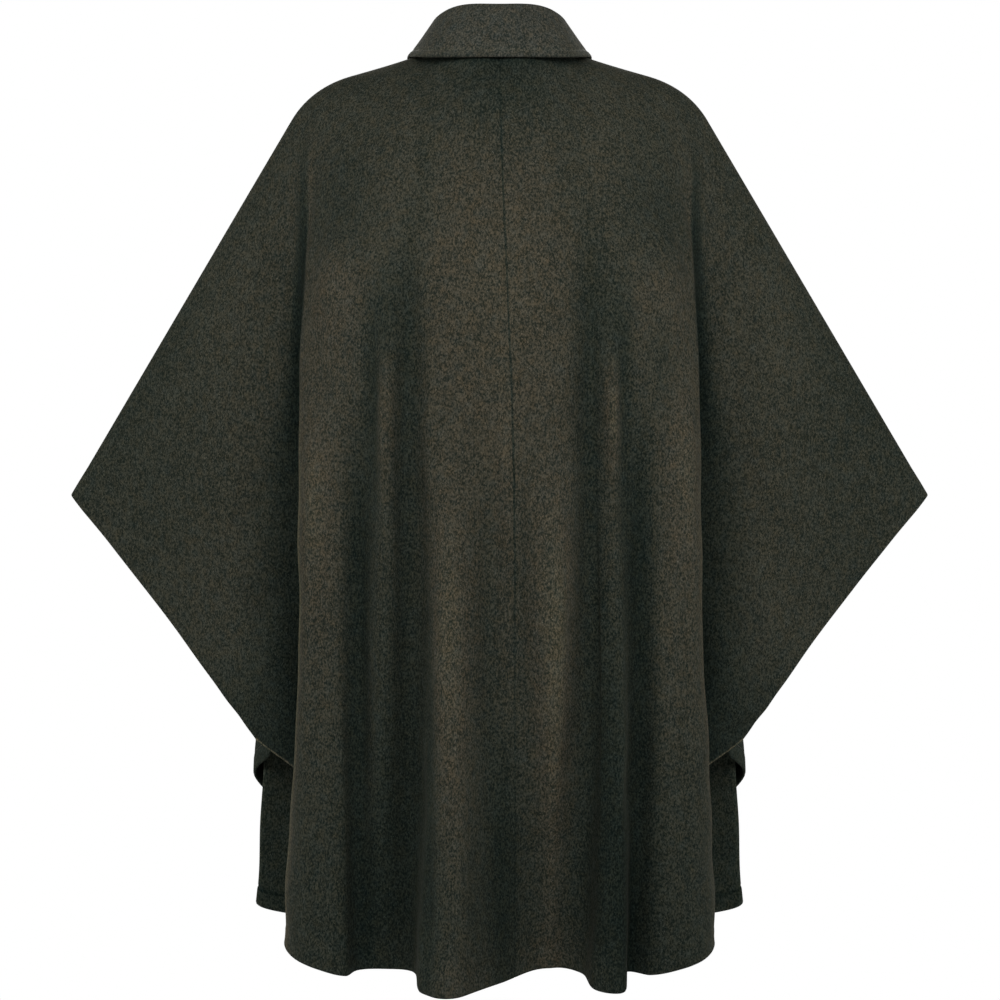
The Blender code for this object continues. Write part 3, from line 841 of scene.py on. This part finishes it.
class Cloth:
    """One cut panel: a grid of points on its drape, lengths along its cloth, and the painted light and shade
    on its colour.
    """

    def __init__(self, drape, knots, facing, folds, creases):
        knots, downs = np.broadcast_arrays(knots, row_downs()[None, :])
        base = drape.points(knots, downs)
        stations = drape.station(knots)
        across = lengths_along(base, 0)
        down = lengths_along(base, 1)
        self.base = base
        self.facing = facing
        self.downs = downs
        self.beside = np.abs(stations)
        self.from_seam = across
        self.from_hem = down[:, -1:] - down
        self.from_edge = across[-1:, :] - across

        moved, shade = fold_height(folds, base, downs)
        curtain = ramp(self.beside, CURTAIN)
        moved = moved * curtain + crease_height(drape, creases, base, stations)
        free = ramp(np.minimum(down, self.from_hem + HEM_RIPPLE), RIPPLE_START)
        moved = moved + ripple_height(across, down) * free
        self.points = base + grid_normals(base, facing) * moved[..., None]
        # Painted shade on the wing, and the hanging folds' painted highlights and shade
        wing = WING_SHADE * (1 - curtain) * ramp(downs, WING_SHADED)
        self.shade = shade * curtain + wing + self.broad_shade()

    def broad_shade(self):
        """Painted light and shade over the whole panel: darker yoke, hem and wing tip, a paler hem edge, and
        a painted shadow under the collar.
        """
        sideways = np.abs(self.base[..., 0])
        hem_edge = ramp(self.downs, HEM_EDGE) * ramp(sideways, INNER_HEM)
        under = np.hypot(sideways / COLLAR_REACH[0], self.base[..., 1] / COLLAR_REACH[1])
        shadow = bell(under - 1, COLLAR_SHADOW_SPREAD) * ramp(self.downs, UNDER_COLLAR)
        shade = YOKE_SHADE * ramp(self.downs, YOKE) + HEM_SHADE * ramp(self.downs, TOWARDS_HEM)
        shade = shade + HEM_EDGE_SHADE * hem_edge + TIP_SHADE * ramp(sideways, TOWARDS_TIP)
        return shade + COLLAR_SHADOW * shadow

    def beside_wing(self):
        """Turn the back's outer fold with its painted highlight and shadow, and paint a highlight along its
        wing's hem edge.
        """
        shift, shade = outer_fold(self.base, self.downs, self.beside)
        self.points = self.points + shift
        hem_edge = ramp(self.beside, WING_HEM) * ramp(self.from_hem, WING_EDGE)
        self.shade = self.shade + shade + WING_EDGE_SHADE * hem_edge

    def seamed(self):
        """Paint shade along the groove where the panel is sewn to its neighbour at the centre back."""
        strength = 1 - SEAM_FADE * ramp(self.downs, SEAM_FADES_LOW)
        strength = strength * (1 - SEAM_FADE * ramp(self.downs, SEAM_FADES_HIGH))
        self.shade = self.shade + SEAM_SHADE * ramp(self.from_seam, SEAM_LINE) * strength

    def to_rim(self):
        return np.minimum(self.from_hem, self.from_edge)

    def hemmed(self):
        """Paint shade along the groove of the hem's stitching."""
        self.shade = self.shade + HEM_LINE_SHADE * bell(self.to_rim() - HEM_DEPTH, GROOVE_WIDTH)

    def lapped(self, step):
        """Move the front edge out or in, where one front laps over the other."""
        share = ramp(np.abs(self.base[..., 0]), LAP)
        self.points = self.points + grid_normals(self.base, self.facing) * (step * share)[..., None]

    def mirrored(self):
        self.points = self.points * np.array((-1, 1, 1))
        self.facing = -self.facing

    def normals(self):
        return grid_normals(self.points, self.facing)

    def halves(self, groove_depth):
        """Half the wall's thickness, fuller where the hem is turned up, drawn in where it is stitched."""
        full = HEM_FULLNESS * ramp(self.to_rim(), TURNED_HEM)
        return WALL / 2 + full - groove_depth * bell(self.to_rim() - HEM_DEPTH, GROOVE_WIDTH)


def centre_seam_knots(drape, downs):
    """The knot of the centre back seam at each row."""
    rows = np.array(CENTRE_SEAM)
    target = spline(rows[:, 0], rows[:, 1], downs)[..., 0]
    tries = drape.knot(np.linspace(-1, 1, CENTRE_TRIES))
    found = []
    for down, x in zip(downs, target):
        along = drape.points(tries, down)[:, 0]
        found.append(np.interp(x, along, tries))
    return np.array(found)


def row_downs():
    """Rows crowd together towards the seam and the hem, where the cloth turns."""
    share = np.linspace(0, 1, CLOTH_ROWS + 1)
    crowded = (share - ROW_CROWDING * np.sin(2 * math.pi * share)) ** ROW_POWER
    return np.sort(np.concatenate((crowded, 1 - np.array(HEM_ROWS))))


def back_cloth(drape):
    seam = centre_seam_knots(drape, row_downs())[None, :]
    apart = drape.knot(SEAM_GAP / 2 / CENTRE_STATION_WIDTH) - drape.knot(0)
    last = len(drape.knots) - 1 - drape.middle
    stations = np.concatenate(([0], SEAM_COLUMNS, np.linspace(0, last, last * COLUMNS_A_STATION + 1)[1:]))
    middle = drape.knot(0)
    panels = []
    for side in (1, -1):
        line = drape.knot(side * stations)[:, None]
        line_share = (line - middle) / (line[-1] - middle)
        start = seam + side * apart
        knots = start + (line[-1] - start) * line_share
        panel = Cloth(drape, knots, drape.facing * side, BACK_FOLDS, BACK_CREASES)
        panel.beside_wing()
        panel.seamed()
        panels.append(panel)
    return panels


def front_cloth(drape):
    last = len(drape.knots) - 1
    knots = drape.knot(np.linspace(0, last, last * COLUMNS_A_STATION + 1))[:, None]
    panels = []
    for folds, step in ((FRONT_LEFT_FOLDS, -LAP_STEP), (FRONT_RIGHT_FOLDS, LAP_STEP)):
        panel = Cloth(drape, knots, drape.facing, folds, FRONT_CREASES)
        panel.lapped(step)
        panel.hemmed()
        panels.append(panel)
    panels[1].mirrored()
    return panels


def collar_at(angle):
    angles = np.radians([row.angle for row in COLLAR])
    table = np.array(COLLAR)[:, 1:]
    base, height, x, y, z = np.moveaxis(spline(angles, table, np.abs(angle)), -1, 0)
    return base[:, None], height[:, None], stacked(np.copysign(x, angle), y, z)


def eased(line):
    """A row of points with its bends softened, its ends kept."""
    ahead = line[0] + (line[0] - line[STAND_EASE:0:-1])
    behind = line[-1] + (line[-1] - line[-2 : -STAND_EASE - 2 : -1])
    longer = np.concatenate((ahead, line, behind))
    weights = np.hanning(2 * STAND_EASE + 3)[1:-1]
    columns = [np.convolve(longer[:, axis], weights / weights.sum(), "valid") for axis in range(3)]
    return np.stack(columns, axis=-1)


def collar_sections():
    """The collar's stand and fall as grids, columns round the neck and rows from the seam to the edge."""
    end = math.radians(COLLAR[-1].angle)
    angle = np.linspace(-end, end, COLLAR_COLUMNS + 1)
    seam = neck_ring(angle)
    out = unit(seam * np.array((1, 1, 0)))
    up = np.array((0, 0, 1))
    lift, height, edge = collar_at(angle)
    base = seam + up * lift
    stand_top = eased(base + up * height - out * STAND_LEAN)
    rows = np.linspace(0, 1, STAND_ROWS + 1)[None, :, None]
    stand = base[:, None] + (stand_top - base)[:, None] * rows
    roll_start = stand_top + unit(stand_top - base) * ROLL_CLEARANCE
    centre = roll_start + out * ROLL_RADIUS
    turns = np.linspace(math.pi, ROLL_END, ROLL_ROWS + 1)[None, :, None]
    roll = centre[:, None] + (out[:, None] * np.cos(turns) + up * np.sin(turns)) * ROLL_RADIUS
    start = roll[:, -1]
    leaving = out * math.sin(ROLL_END) - up * math.cos(ROLL_END)
    pull = start + leaving * np.linalg.norm(edge - start, axis=-1, keepdims=True) * FALL_REACH
    t = np.linspace(0, 1, FALL_ROWS + 1)[1:][None, :, None]
    fall = start[:, None] * (1 - t) ** 2 + pull[:, None] * 2 * t * (1 - t) + edge[:, None] * t * t
    return stand, np.concatenate((roll, fall), axis=1)


class Signal:
    """A shader socket that takes part in plain arithmetic."""

    def __init__(self, tree, socket=None):
        self.tree = tree
        self.socket = socket

    def node(self, kind, settings, sockets, output=0):
        made = self.tree.nodes.new(kind)
        for name, value in settings.items():
            setattr(made, name, value)
        for name, value in sockets.items():
            if isinstance(value, Signal):
                self.tree.links.new(value.socket, made.inputs[name])
            else:
                made.inputs[name].default_value = value
        return Signal(self.tree, made.outputs[output])

    def maths(self, operation, first, second):
        return self.node("ShaderNodeMath", {"operation": operation}, {0: first, 1: second})

    def __add__(self, other):
        return self.maths("ADD", self, other)

    __radd__ = __add__

    def __sub__(self, other):
        return self.maths("SUBTRACT", self, other)

    def __rsub__(self, other):
        return self.maths("SUBTRACT", other, self)

    def __mul__(self, other):
        return self.maths("MULTIPLY", self, other)

    def place(self):
        """Places in the object that the material is on."""
        return self.node("ShaderNodeTexCoord", {}, {}, output="Object")

    def noise(self, grain):
        """Noise between 0 and 1 along this place."""
        turned = {"Vector": self, "Rotation": (0, grain.turn, 0), "Scale": (1, 1, grain.drawn)}
        laid = self.node("ShaderNodeMapping", {"vector_type": "TEXTURE"}, turned)
        sizes = {"Vector": laid, "Scale": grain.scale, "Detail": grain.detail}
        return self.node("ShaderNodeTexNoise", {}, sizes)

    def bump(self, strength, distance):
        return self.node("ShaderNodeBump", {}, {"Height": self, "Strength": strength, "Distance": distance})

    def between(self, low, high, bottom=0.0, top=1.0):
        """This value from low to high, laid smoothly onto bottom to top."""
        settings = {"interpolation_type": "SMOOTHSTEP"}
        return self.node("ShaderNodeMapRange", settings, {0: self, 1: low, 2: high, 3: bottom, 4: top})

    def mix(self, first, second):
        """The first colour where this value is 0, the second where it is 1."""
        return self.node("ShaderNodeMix", {"data_type": "RGBA"}, {0: self, 6: first, 7: second}, output=2)


def bare_material(name, settings):
    material = bpy.data.materials.new(name)
    material.use_nodes = True
    shader = material.node_tree.nodes["Principled BSDF"]
    for socket, value in settings.items():
        shader.inputs[socket].default_value = value
    return material, shader, Signal(material.node_tree)


def link(signal, shader, socket):
    signal.tree.links.new(signal.socket, shader.inputs[socket])


def loden_material(name, painted_tint=(1.0, 1.0, 1.0)):
    """Fulled wool: brown and green-black fibres spun together, a raised napped face and a slow change of
    tone, times the cloth's painted light and shade.
    """

    # Colours under the material's painted tint of light or shade
    def coloured(colour):
        return (*(painted_tint * np.array(colour)), 1)

    material, shader, start = bare_material(name, LODEN_SHADER)
    place = start.place()
    flecks, hairs, crossing = [place.noise(grain) * share for grain, share in zip(FIBRES, FIBRE_SHARES)]
    fibre = flecks + hairs + crossing
    tufts, clouds, patches = [place.noise(grain) for grain in (TUFTS, CLOUDS, PATCHES)]
    slow = (tufts - 0.5) * TUFT_SWING + (clouds - 0.5) * CLOUD_SWING + (patches - 0.5) * PATCH_SWING
    brown = (fibre + slow).between(*BROWN_RANGE)
    ground = brown.mix(coloured(GREEN_BLACK), coloured(WARM_BROWN))
    tone = place.noise(BRIGHT_HAIRS).between(*BRIGHT_RANGE).mix(ground, coloured(BRIGHT_FIBRE))
    # The cloth's painted light and shade, multiplied into its colour, greener and cooler where darker
    shade = start.node("ShaderNodeAttribute", {"attribute_name": "painted_light_and_shade"}, {}, output="Fac")
    hue = (place.noise(HUES) - 0.5) * HUE_SWING
    warm = shade.maths("MINIMUM", shade * WARMTH + (1 - WARMTH), WARMTH_LIMIT)
    red = shade * warm * (1.0 + hue)
    blue = shade * (1 + COOLNESS - shade * COOLNESS) * (1.0 - hue)
    tint = start.node("ShaderNodeCombineColor", {}, {"Red": red, "Green": shade, "Blue": blue})
    multiply = {"data_type": "RGBA", "blend_type": "MULTIPLY"}
    painted_shading = tone.node("ShaderNodeMix", multiply, {0: 1.0, 6: tone, 7: tint}, output=2)
    link(painted_shading, shader, "Base Color")
    link((1 - fibre).between(*NAP_ROUGHNESS), shader, "Roughness")
    link((fibre * 0.8 + clouds * 0.2).bump(*NAP_BUMP), shader, "Normal")
    return material


def thread_material(name):
    """Twisted sewing thread, a shade paler than the cloth."""
    material, shader, start = bare_material(name, {"Roughness": 0.6})
    link(start.place().noise(TWIST).mix(THREAD_DARK, THREAD_PALE), shader, "Base Color")
    return material


def horn_material(name):
    """Dark horn with paler streaks, its gloss varying along them."""
    material, shader, start = bare_material(name, {})
    place = start.place()
    streaks = place.noise(HORN_STREAKS)
    pale = (streaks * 0.75 + place.noise(HORN_CLOUDS) * 0.25).between(*HORN_RANGE)
    link(pale.mix(HORN_DARK, HORN_PALE), shader, "Base Color")
    link(streaks.between(*HORN_ROUGHNESS), shader, "Roughness")
    link(streaks.bump(*HORN_BUMP), shader, "Normal")
    return material


def stitch_tree():
    """A tree that lays stitches of one length along a path."""
    tree = bpy.data.node_groups.new("running stitches", "GeometryNodeTree")
    for name, kind in STITCH_INPUTS:
        tree.interface.new_socket(name, in_out="INPUT", socket_type="NodeSocket" + kind)
    tree.interface.new_socket("Stitches", in_out="OUTPUT", socket_type="NodeSocketGeometry")
    given = tree.nodes.new("NodeGroupInput").outputs
    path, pitch, length, radius, thread = [Signal(tree, given[name]) for name, kind in STITCH_INPUTS]
    spacing = {"Curve": path, "Length": pitch}
    spaced = path.node("GeometryNodeCurveToPoints", {"mode": "LENGTH"}, spacing, output="Points")
    turned = Signal(tree, spaced.socket.node.outputs["Rotation"])
    bead = path.node("GeometryNodeMeshUVSphere", {}, {"Segments": 6, "Rings": 4, "Radius": 1.0})
    size = path.node("ShaderNodeCombineXYZ", {}, {"X": radius, "Y": radius, "Z": length * 0.5})
    drawn = path.node("GeometryNodeTransform", {}, {"Geometry": bead, "Scale": size})
    laid = {"Points": spaced, "Rotation": turned, "Instance": drawn}
    placed = path.node("GeometryNodeInstanceOnPoints", {}, laid)
    real = path.node("GeometryNodeRealizeInstances", {}, {"Geometry": placed})
    coloured = path.node("GeometryNodeSetMaterial", {}, {"Geometry": real, "Material": thread})
    link(coloured, tree.nodes.new("NodeGroupOutput"), "Stitches")
    return tree


def lay_line(curve, kind, path):
    line = curve.splines.new(kind)
    line.points.add(len(path) - 1)
    line.points.foreach_set("co", np.column_stack((path, np.ones(len(path)))).ravel())
    return line


def meshed(name, guide):
    """The mesh that a curve and its modifier make, as a piece in the curve's place."""
    bpy.context.view_layer.update()
    graph = bpy.context.evaluated_depsgraph_get()
    mesh = bpy.data.meshes.new_from_object(guide.evaluated_get(graph))
    mesh.name = name
    guide.modifiers.clear()
    bpy.data.objects.remove(guide, do_unlink=True)
    return in_scene(name, mesh)


def stitched(name, path, tree, thread, sizes=HEM_STITCH):
    """One piece of sewing: stitches along a path, a row of points just above the cloth."""
    curve = bpy.data.curves.new(name, "CURVE")
    curve.dimensions = "3D"
    lay_line(curve, "POLY", path)
    guide = in_scene(name + "_path", curve)
    sewing = guide.modifiers.new("Stitches", "NODES")
    sewing.node_group = tree
    named = {item.name: item.identifier for item in tree.interface.items_tree}
    for given, value in zip(("Pitch", "Length", "Radius", "Thread"), (*sizes, thread)):
        sewing[named[given]] = value
    return meshed(name, guide)


def point_at(length, lengths, line):
    """The point of a line at this length, from the rising lengths of its points."""
    return [np.interp(length, lengths, line[:, axis]) for axis in range(3)]


def hem_path(cloth):
    """The hem's stitching on a panel's outer face: along the hem, then up the wing's edge to its tip."""
    lift = cloth.halves(GROOVE_DEPTH)[..., None] + HEM_STITCH.radius * STITCH_LIFT
    face = cloth.points + cloth.normals() * lift
    path = []
    for column in range(face.shape[0]):
        if cloth.from_edge[column, -1] > HEM_DEPTH:
            path.append(point_at(HEM_DEPTH, cloth.from_hem[column, ::-1], face[column, ::-1]))
    for row in range(face.shape[1] - 1, 0, -1):
        if cloth.from_hem[-1, row] > HEM_DEPTH and cloth.from_edge[0, row] > HEM_DEPTH * 2:
            path.append(point_at(HEM_DEPTH, cloth.from_edge[::-1, row], face[::-1, row]))
    return np.array(path)


def collar_stitch_path(face, to_edge):
    """The stitching along the edge of the fall's outer face, short of its points."""
    path = []
    for column in range(COLLAR_POINT_COLUMNS, face.shape[0] - COLLAR_POINT_COLUMNS):
        path.append(point_at(COLLAR_STITCH, to_edge[column, ::-1], face[column, ::-1]))
    return np.array(path)


class Seat:
    """Where one button sits: its middle underneath, the way it faces, and the level and upward directions."""

    def __init__(self, node):
        place = np.array(node.matrix_world)
        corners = np.array([vertex.co for vertex in node.data.vertices]) @ place[:3, :3].T + place[:3, 3]
        middle = corners.mean(axis=0)
        self.facing = np.linalg.svd(corners - middle)[2][-1]
        self.facing = self.facing * -math.copysign(1, self.facing[1])
        self.level = unit(np.cross((0, 0, 1), self.facing))
        self.upward = np.cross(self.facing, self.level)
        heights = (corners - middle) @ self.facing
        self.middle = middle + self.facing * heights.min()

    def rest_on(self, surface):
        """Move out or in until the button's underside just clears the cloth."""
        heights = []
        for reach in REST_REACHES:
            for across, up in circle(reach * BUTTON_RADIUS, REST_PLACES):
                heights.append(self.drop(surface, across, up))
        self.middle = self.middle + self.facing * (max(heights) + BUTTON_LIFT)

    def drop(self, surface, across, up):
        """How high the cloth stands above the button's underside at this place."""
        above = self.at(across, up, BUTTON_RADIUS)
        distance = surface.ray_cast(Vector(above.tolist()), Vector((-self.facing).tolist()))[3]
        return BUTTON_RADIUS - distance

    def at(self, across, up, out):
        return self.middle + self.level * across + self.upward * up + self.facing * out

    def matrix(self):
        place = np.eye(4)
        place[:3] = np.stack((self.level, self.upward, self.facing, self.middle), axis=-1)
        return Matrix(place.tolist())


def eye_places():
    half = EYE_APART / 2
    return ((half, half), (-half, half), (-half, -half), (half, -half))


def button(name, seat, horn):
    """A turned horn button with a dished face and four eyes."""
    made = bmesh.new()

    def ring(middle, radius, height, sides):
        corners = circle(radius, sides)
        return [made.verts.new((middle[0] + x, middle[1] + y, height)) for x, y in corners]

    def joined(low, high):
        for number in range(len(low)):
            made.faces.new((low[number - 1], low[number], high[number], high[number - 1]))

    def loop(corners):
        pairs = zip(corners, corners[1:] + corners[:1])
        return [made.edges.get(pair) or made.edges.new(pair) for pair in pairs]

    rings = [ring((0, 0), r * BUTTON_RADIUS, h * BUTTON_THICKNESS, BUTTON_SIDES) for r, h in BUTTON_PROFILE]
    made.faces.new(rings[0][::-1])
    for low, high in zip(rings[:-1], rings[1:]):
        joined(low, high)
    face = BUTTON_PROFILE[-1].height * BUTTON_THICKNESS
    edges = loop(rings[-1])
    eyes = [ring(eye, EYE_RADIUS, face, EYE_SIDES) for eye in eye_places()]
    for eye in eyes:
        edges += loop(eye)
    bmesh.ops.triangle_fill(made, use_beauty=True, edges=edges, normal=(0, 0, 1))
    for eye, place in zip(eyes, eye_places()):
        deep = ring(place, EYE_RADIUS, EYE_FLOOR, EYE_SIDES)
        joined(deep, eye)
        made.faces.new(deep)
    bmesh.ops.recalc_face_normals(made, faces=made.faces)
    mesh = bpy.data.meshes.new(name)
    made.to_mesh(mesh)
    made.free()
    mesh.polygons.foreach_set("use_smooth", np.ones(len(mesh.polygons), bool))
    mesh.set_sharp_from_angle(angle=BUTTON_SHARP)
    mesh.transform(seat.matrix())
    mesh.materials.append(horn)
    return in_scene(name, mesh)


def button_thread(name, seat, thread):
    """Two pairs of strands from eye to eye."""
    curve = bpy.data.curves.new(name, "CURVE")
    curve.dimensions = "3D"
    curve.bevel_depth = THREAD_RADIUS
    curve.bevel_resolution = 2
    curve.use_fill_caps = True
    curve.resolution_u = 6
    face = BUTTON_PROFILE[-1].height * BUTTON_THICKNESS
    half = EYE_APART / 2
    crown = (half * STRAND_SHOULDER, face + THREAD_RADIUS * STRAND_RISE)
    climb = ((half, EYE_FLOOR), (half, face), crown)
    arch = climb + tuple((-across, up) for across, up in reversed(climb))
    for row in (half, -half):
        for apart in (THREAD_RADIUS, -THREAD_RADIUS):
            path = np.array([seat.at(across, row + apart, up) for across, up in arch])
            line = lay_line(curve, "NURBS", path)
            line.use_endpoint_u = True
            line.order_u = 3
    piece = meshed(name, in_scene(name + "_path", curve))
    piece.data.materials.clear()
    piece.data.materials.append(thread)
    return piece


def buttonhole_path(seat, surface):
    """A long narrow loop round a buttonhole, laid on the cloth under its button."""
    ends = np.linspace(math.pi / 2, -math.pi / 2, HOLE_END_POINTS)
    right = [(HOLE_TO + HOLE_HALF_WIDTH * math.cos(t), HOLE_HALF_WIDTH * math.sin(t)) for t in ends]
    left = [(HOLE_FROM - HOLE_HALF_WIDTH * math.cos(t), -HOLE_HALF_WIDTH * math.sin(t)) for t in ends]
    along = np.linspace(HOLE_TO, HOLE_FROM, HOLE_SIDE_POINTS)[1:-1]
    low = [(across, -HOLE_HALF_WIDTH) for across in along]
    high = [(across, HOLE_HALF_WIDTH) for across in along[::-1]]
    loop = right + low + left + high + right[:1]
    lift = HOLE_STITCH.radius * STITCH_LIFT
    return np.array([seat.at(across, up, seat.drop(surface, across, up) + lift) for across, up in loop])


def studio():
    """A pale round floor, soft lights from above on both sides, and a white room."""
    scene = bpy.context.scene
    scene.view_settings.view_transform = "Standard"
    world = bpy.data.worlds.new("white room")
    world.use_nodes = True
    scene.world = world
    room = Signal(world.node_tree)
    seen = room.node("ShaderNodeLightPath", {}, {}, output="Is Camera Ray")
    strength = seen * (1 - ROOM_FILL) + ROOM_FILL
    backing = world.node_tree.nodes["Background"]
    backing.inputs["Color"].default_value = (1, 1, 1, 1)
    link(strength, backing, "Strength")

    mesh = bpy.data.meshes.new("floor")
    ring = [(x, y, FLOOR_LEVEL) for x, y in circle(FLOOR_RADIUS, FLOOR_SIDES)]
    mesh.from_pydata(ring, [], [tuple(range(FLOOR_SIDES))])
    mesh.materials.append(bare_material("pale floor", {"Base Color": FLOOR_GREY, "Roughness": 0.9})[0])
    floor = in_scene("floor", mesh)

    for lamp in LAMPS:
        for side in (1, -1):
            light = bpy.data.lights.new(lamp.name, "AREA")
            light.size = LAMP_SIZE
            light.energy = lamp.watts
            place = np.array((lamp.x * side, lamp.y, lamp.z))
            facing = unit(place - np.array(LAMP_AIM))
            across = unit(np.cross((0, 0, 1), facing))
            upward = np.cross(facing, across)
            turned = Matrix((across.tolist(), upward.tolist(), facing.tolist())).transposed()
            standing = in_scene(lamp.name, light)
            standing.matrix_world = Matrix.Translation(place.tolist()) @ turned.to_4x4()


def photo_camera():
    """The camera behind the wearer, level, with its frame shifted down a little."""
    lens = bpy.data.cameras.new("camera")
    lens.sensor_width = 36
    lens.lens = 87.48
    lens.shift_x = 0.0005
    lens.shift_y = -0.07
    camera = in_scene("camera", lens)
    camera.location = (0, 2.6, -0.396)
    camera.rotation_euler = (math.pi / 2, 0, math.pi)
    bpy.context.scene.camera = camera


def add_piece(piece, nodes=()):
    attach(piece, "root")
    if nodes:
        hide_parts(*nodes)


def panel_pieces(tree, lodens, thread, seats):
    names = ("back_left", "back_right", "front_left", "front_right")
    panels = (*back_cloth(back_drape()), *front_cloth(front_drape()))
    for name, cloth, loden in zip(names, panels, lodens):
        sewn_hem = name.startswith("front")
        outer = cloth.halves(GROOVE_DEPTH * sewn_hem)
        inner = cloth.halves(INNER_GROOVE_DEPTH)
        # The panel's painted light and shade, as a factor on its colour
        painted_light = np.exp(cloth.shade)
        piece = shell(name + "_cloth", cloth.points, cloth.normals(), outer, inner, painted_light, loden)
        add_piece(piece, (name,))
        sewn = []
        if sewn_hem:
            sewn = [stitched(name + "_hem_stitching", hem_path(cloth), tree, thread)]
            add_piece(sewn[0])
        if name == "front_right":
            corners = [vertex.co for vertex in piece.data.vertices]
            surface = BVHTree.FromPolygons(corners, [tuple(face.vertices) for face in piece.data.polygons])
            for number, seat in enumerate(seats, 1):
                seat.rest_on(surface)
                path = buttonhole_path(seat, surface)
                sewn.append(stitched(f"buttonhole_{number}", path, tree, thread, HOLE_STITCH))
                add_piece(sewn[-1])


def button_pieces(seats, horn, thread):
    for number, seat in enumerate(seats, 1):
        add_piece(button(f"button_{number}_horn", seat, horn), (f"button_{number}",))
        add_piece(button_thread(f"button_{number}_thread", seat, thread))


def collar_pieces(tree, loden, thread):
    stand, fall = collar_sections()
    for name, grid in (("collar_stand", stand), ("collar_fall", fall)):
        normals = grid_normals(grid, 1)
        halves = np.full(grid.shape[:2], WALL / 2)
        # The collar's painted light, with a paler line along its stitching
        painted_light = np.full(grid.shape[:2], COLLAR_SHADE)
        sewn = []
        if name == "collar_fall":
            down = lengths_along(grid, 1)
            to_edge = down[:, -1:] - down
            line = bell(to_edge - COLLAR_STITCH, GROOVE_WIDTH)
            painted_light = painted_light + COLLAR_LINE_SHADE * line
            halves = halves + HEM_FULLNESS * ramp(to_edge, TURNED_COLLAR) - GROOVE_DEPTH * line
            face = grid + normals * (halves[..., None] + HEM_STITCH.radius * STITCH_LIFT)
            path = collar_stitch_path(face, to_edge)
            sewn = [stitched("collar_stitching", path, tree, thread)]
            add_piece(sewn[0])
        piece = shell(name + "_cloth", grid, normals, halves, halves, np.exp(painted_light), loden)
        add_piece(piece, (name,))


def main():
    photo_camera()
    studio()
    tree = stitch_tree()
    loden = loden_material("loden cloth")
    # Copies of the cloth with painted tints: greener shade on the fronts, cooler light on the collar
    front_shaded_loden = loden_material("front cloth", FRONT_SHADE_TINT)
    collar_lit_loden = loden_material("collar cloth", COLLAR_LIGHT_TINT)
    thread = thread_material("sewing thread")
    horn = horn_material("button horn")
    seats = [Seat(bpy.data.objects[f"button_{number}"]) for number in range(1, BUTTONS + 1)]
    panel_pieces(tree, (loden, loden, front_shaded_loden, front_shaded_loden), thread, seats)
    collar_pieces(tree, collar_lit_loden, thread)
    button_pieces(seats, horn, thread)


main()
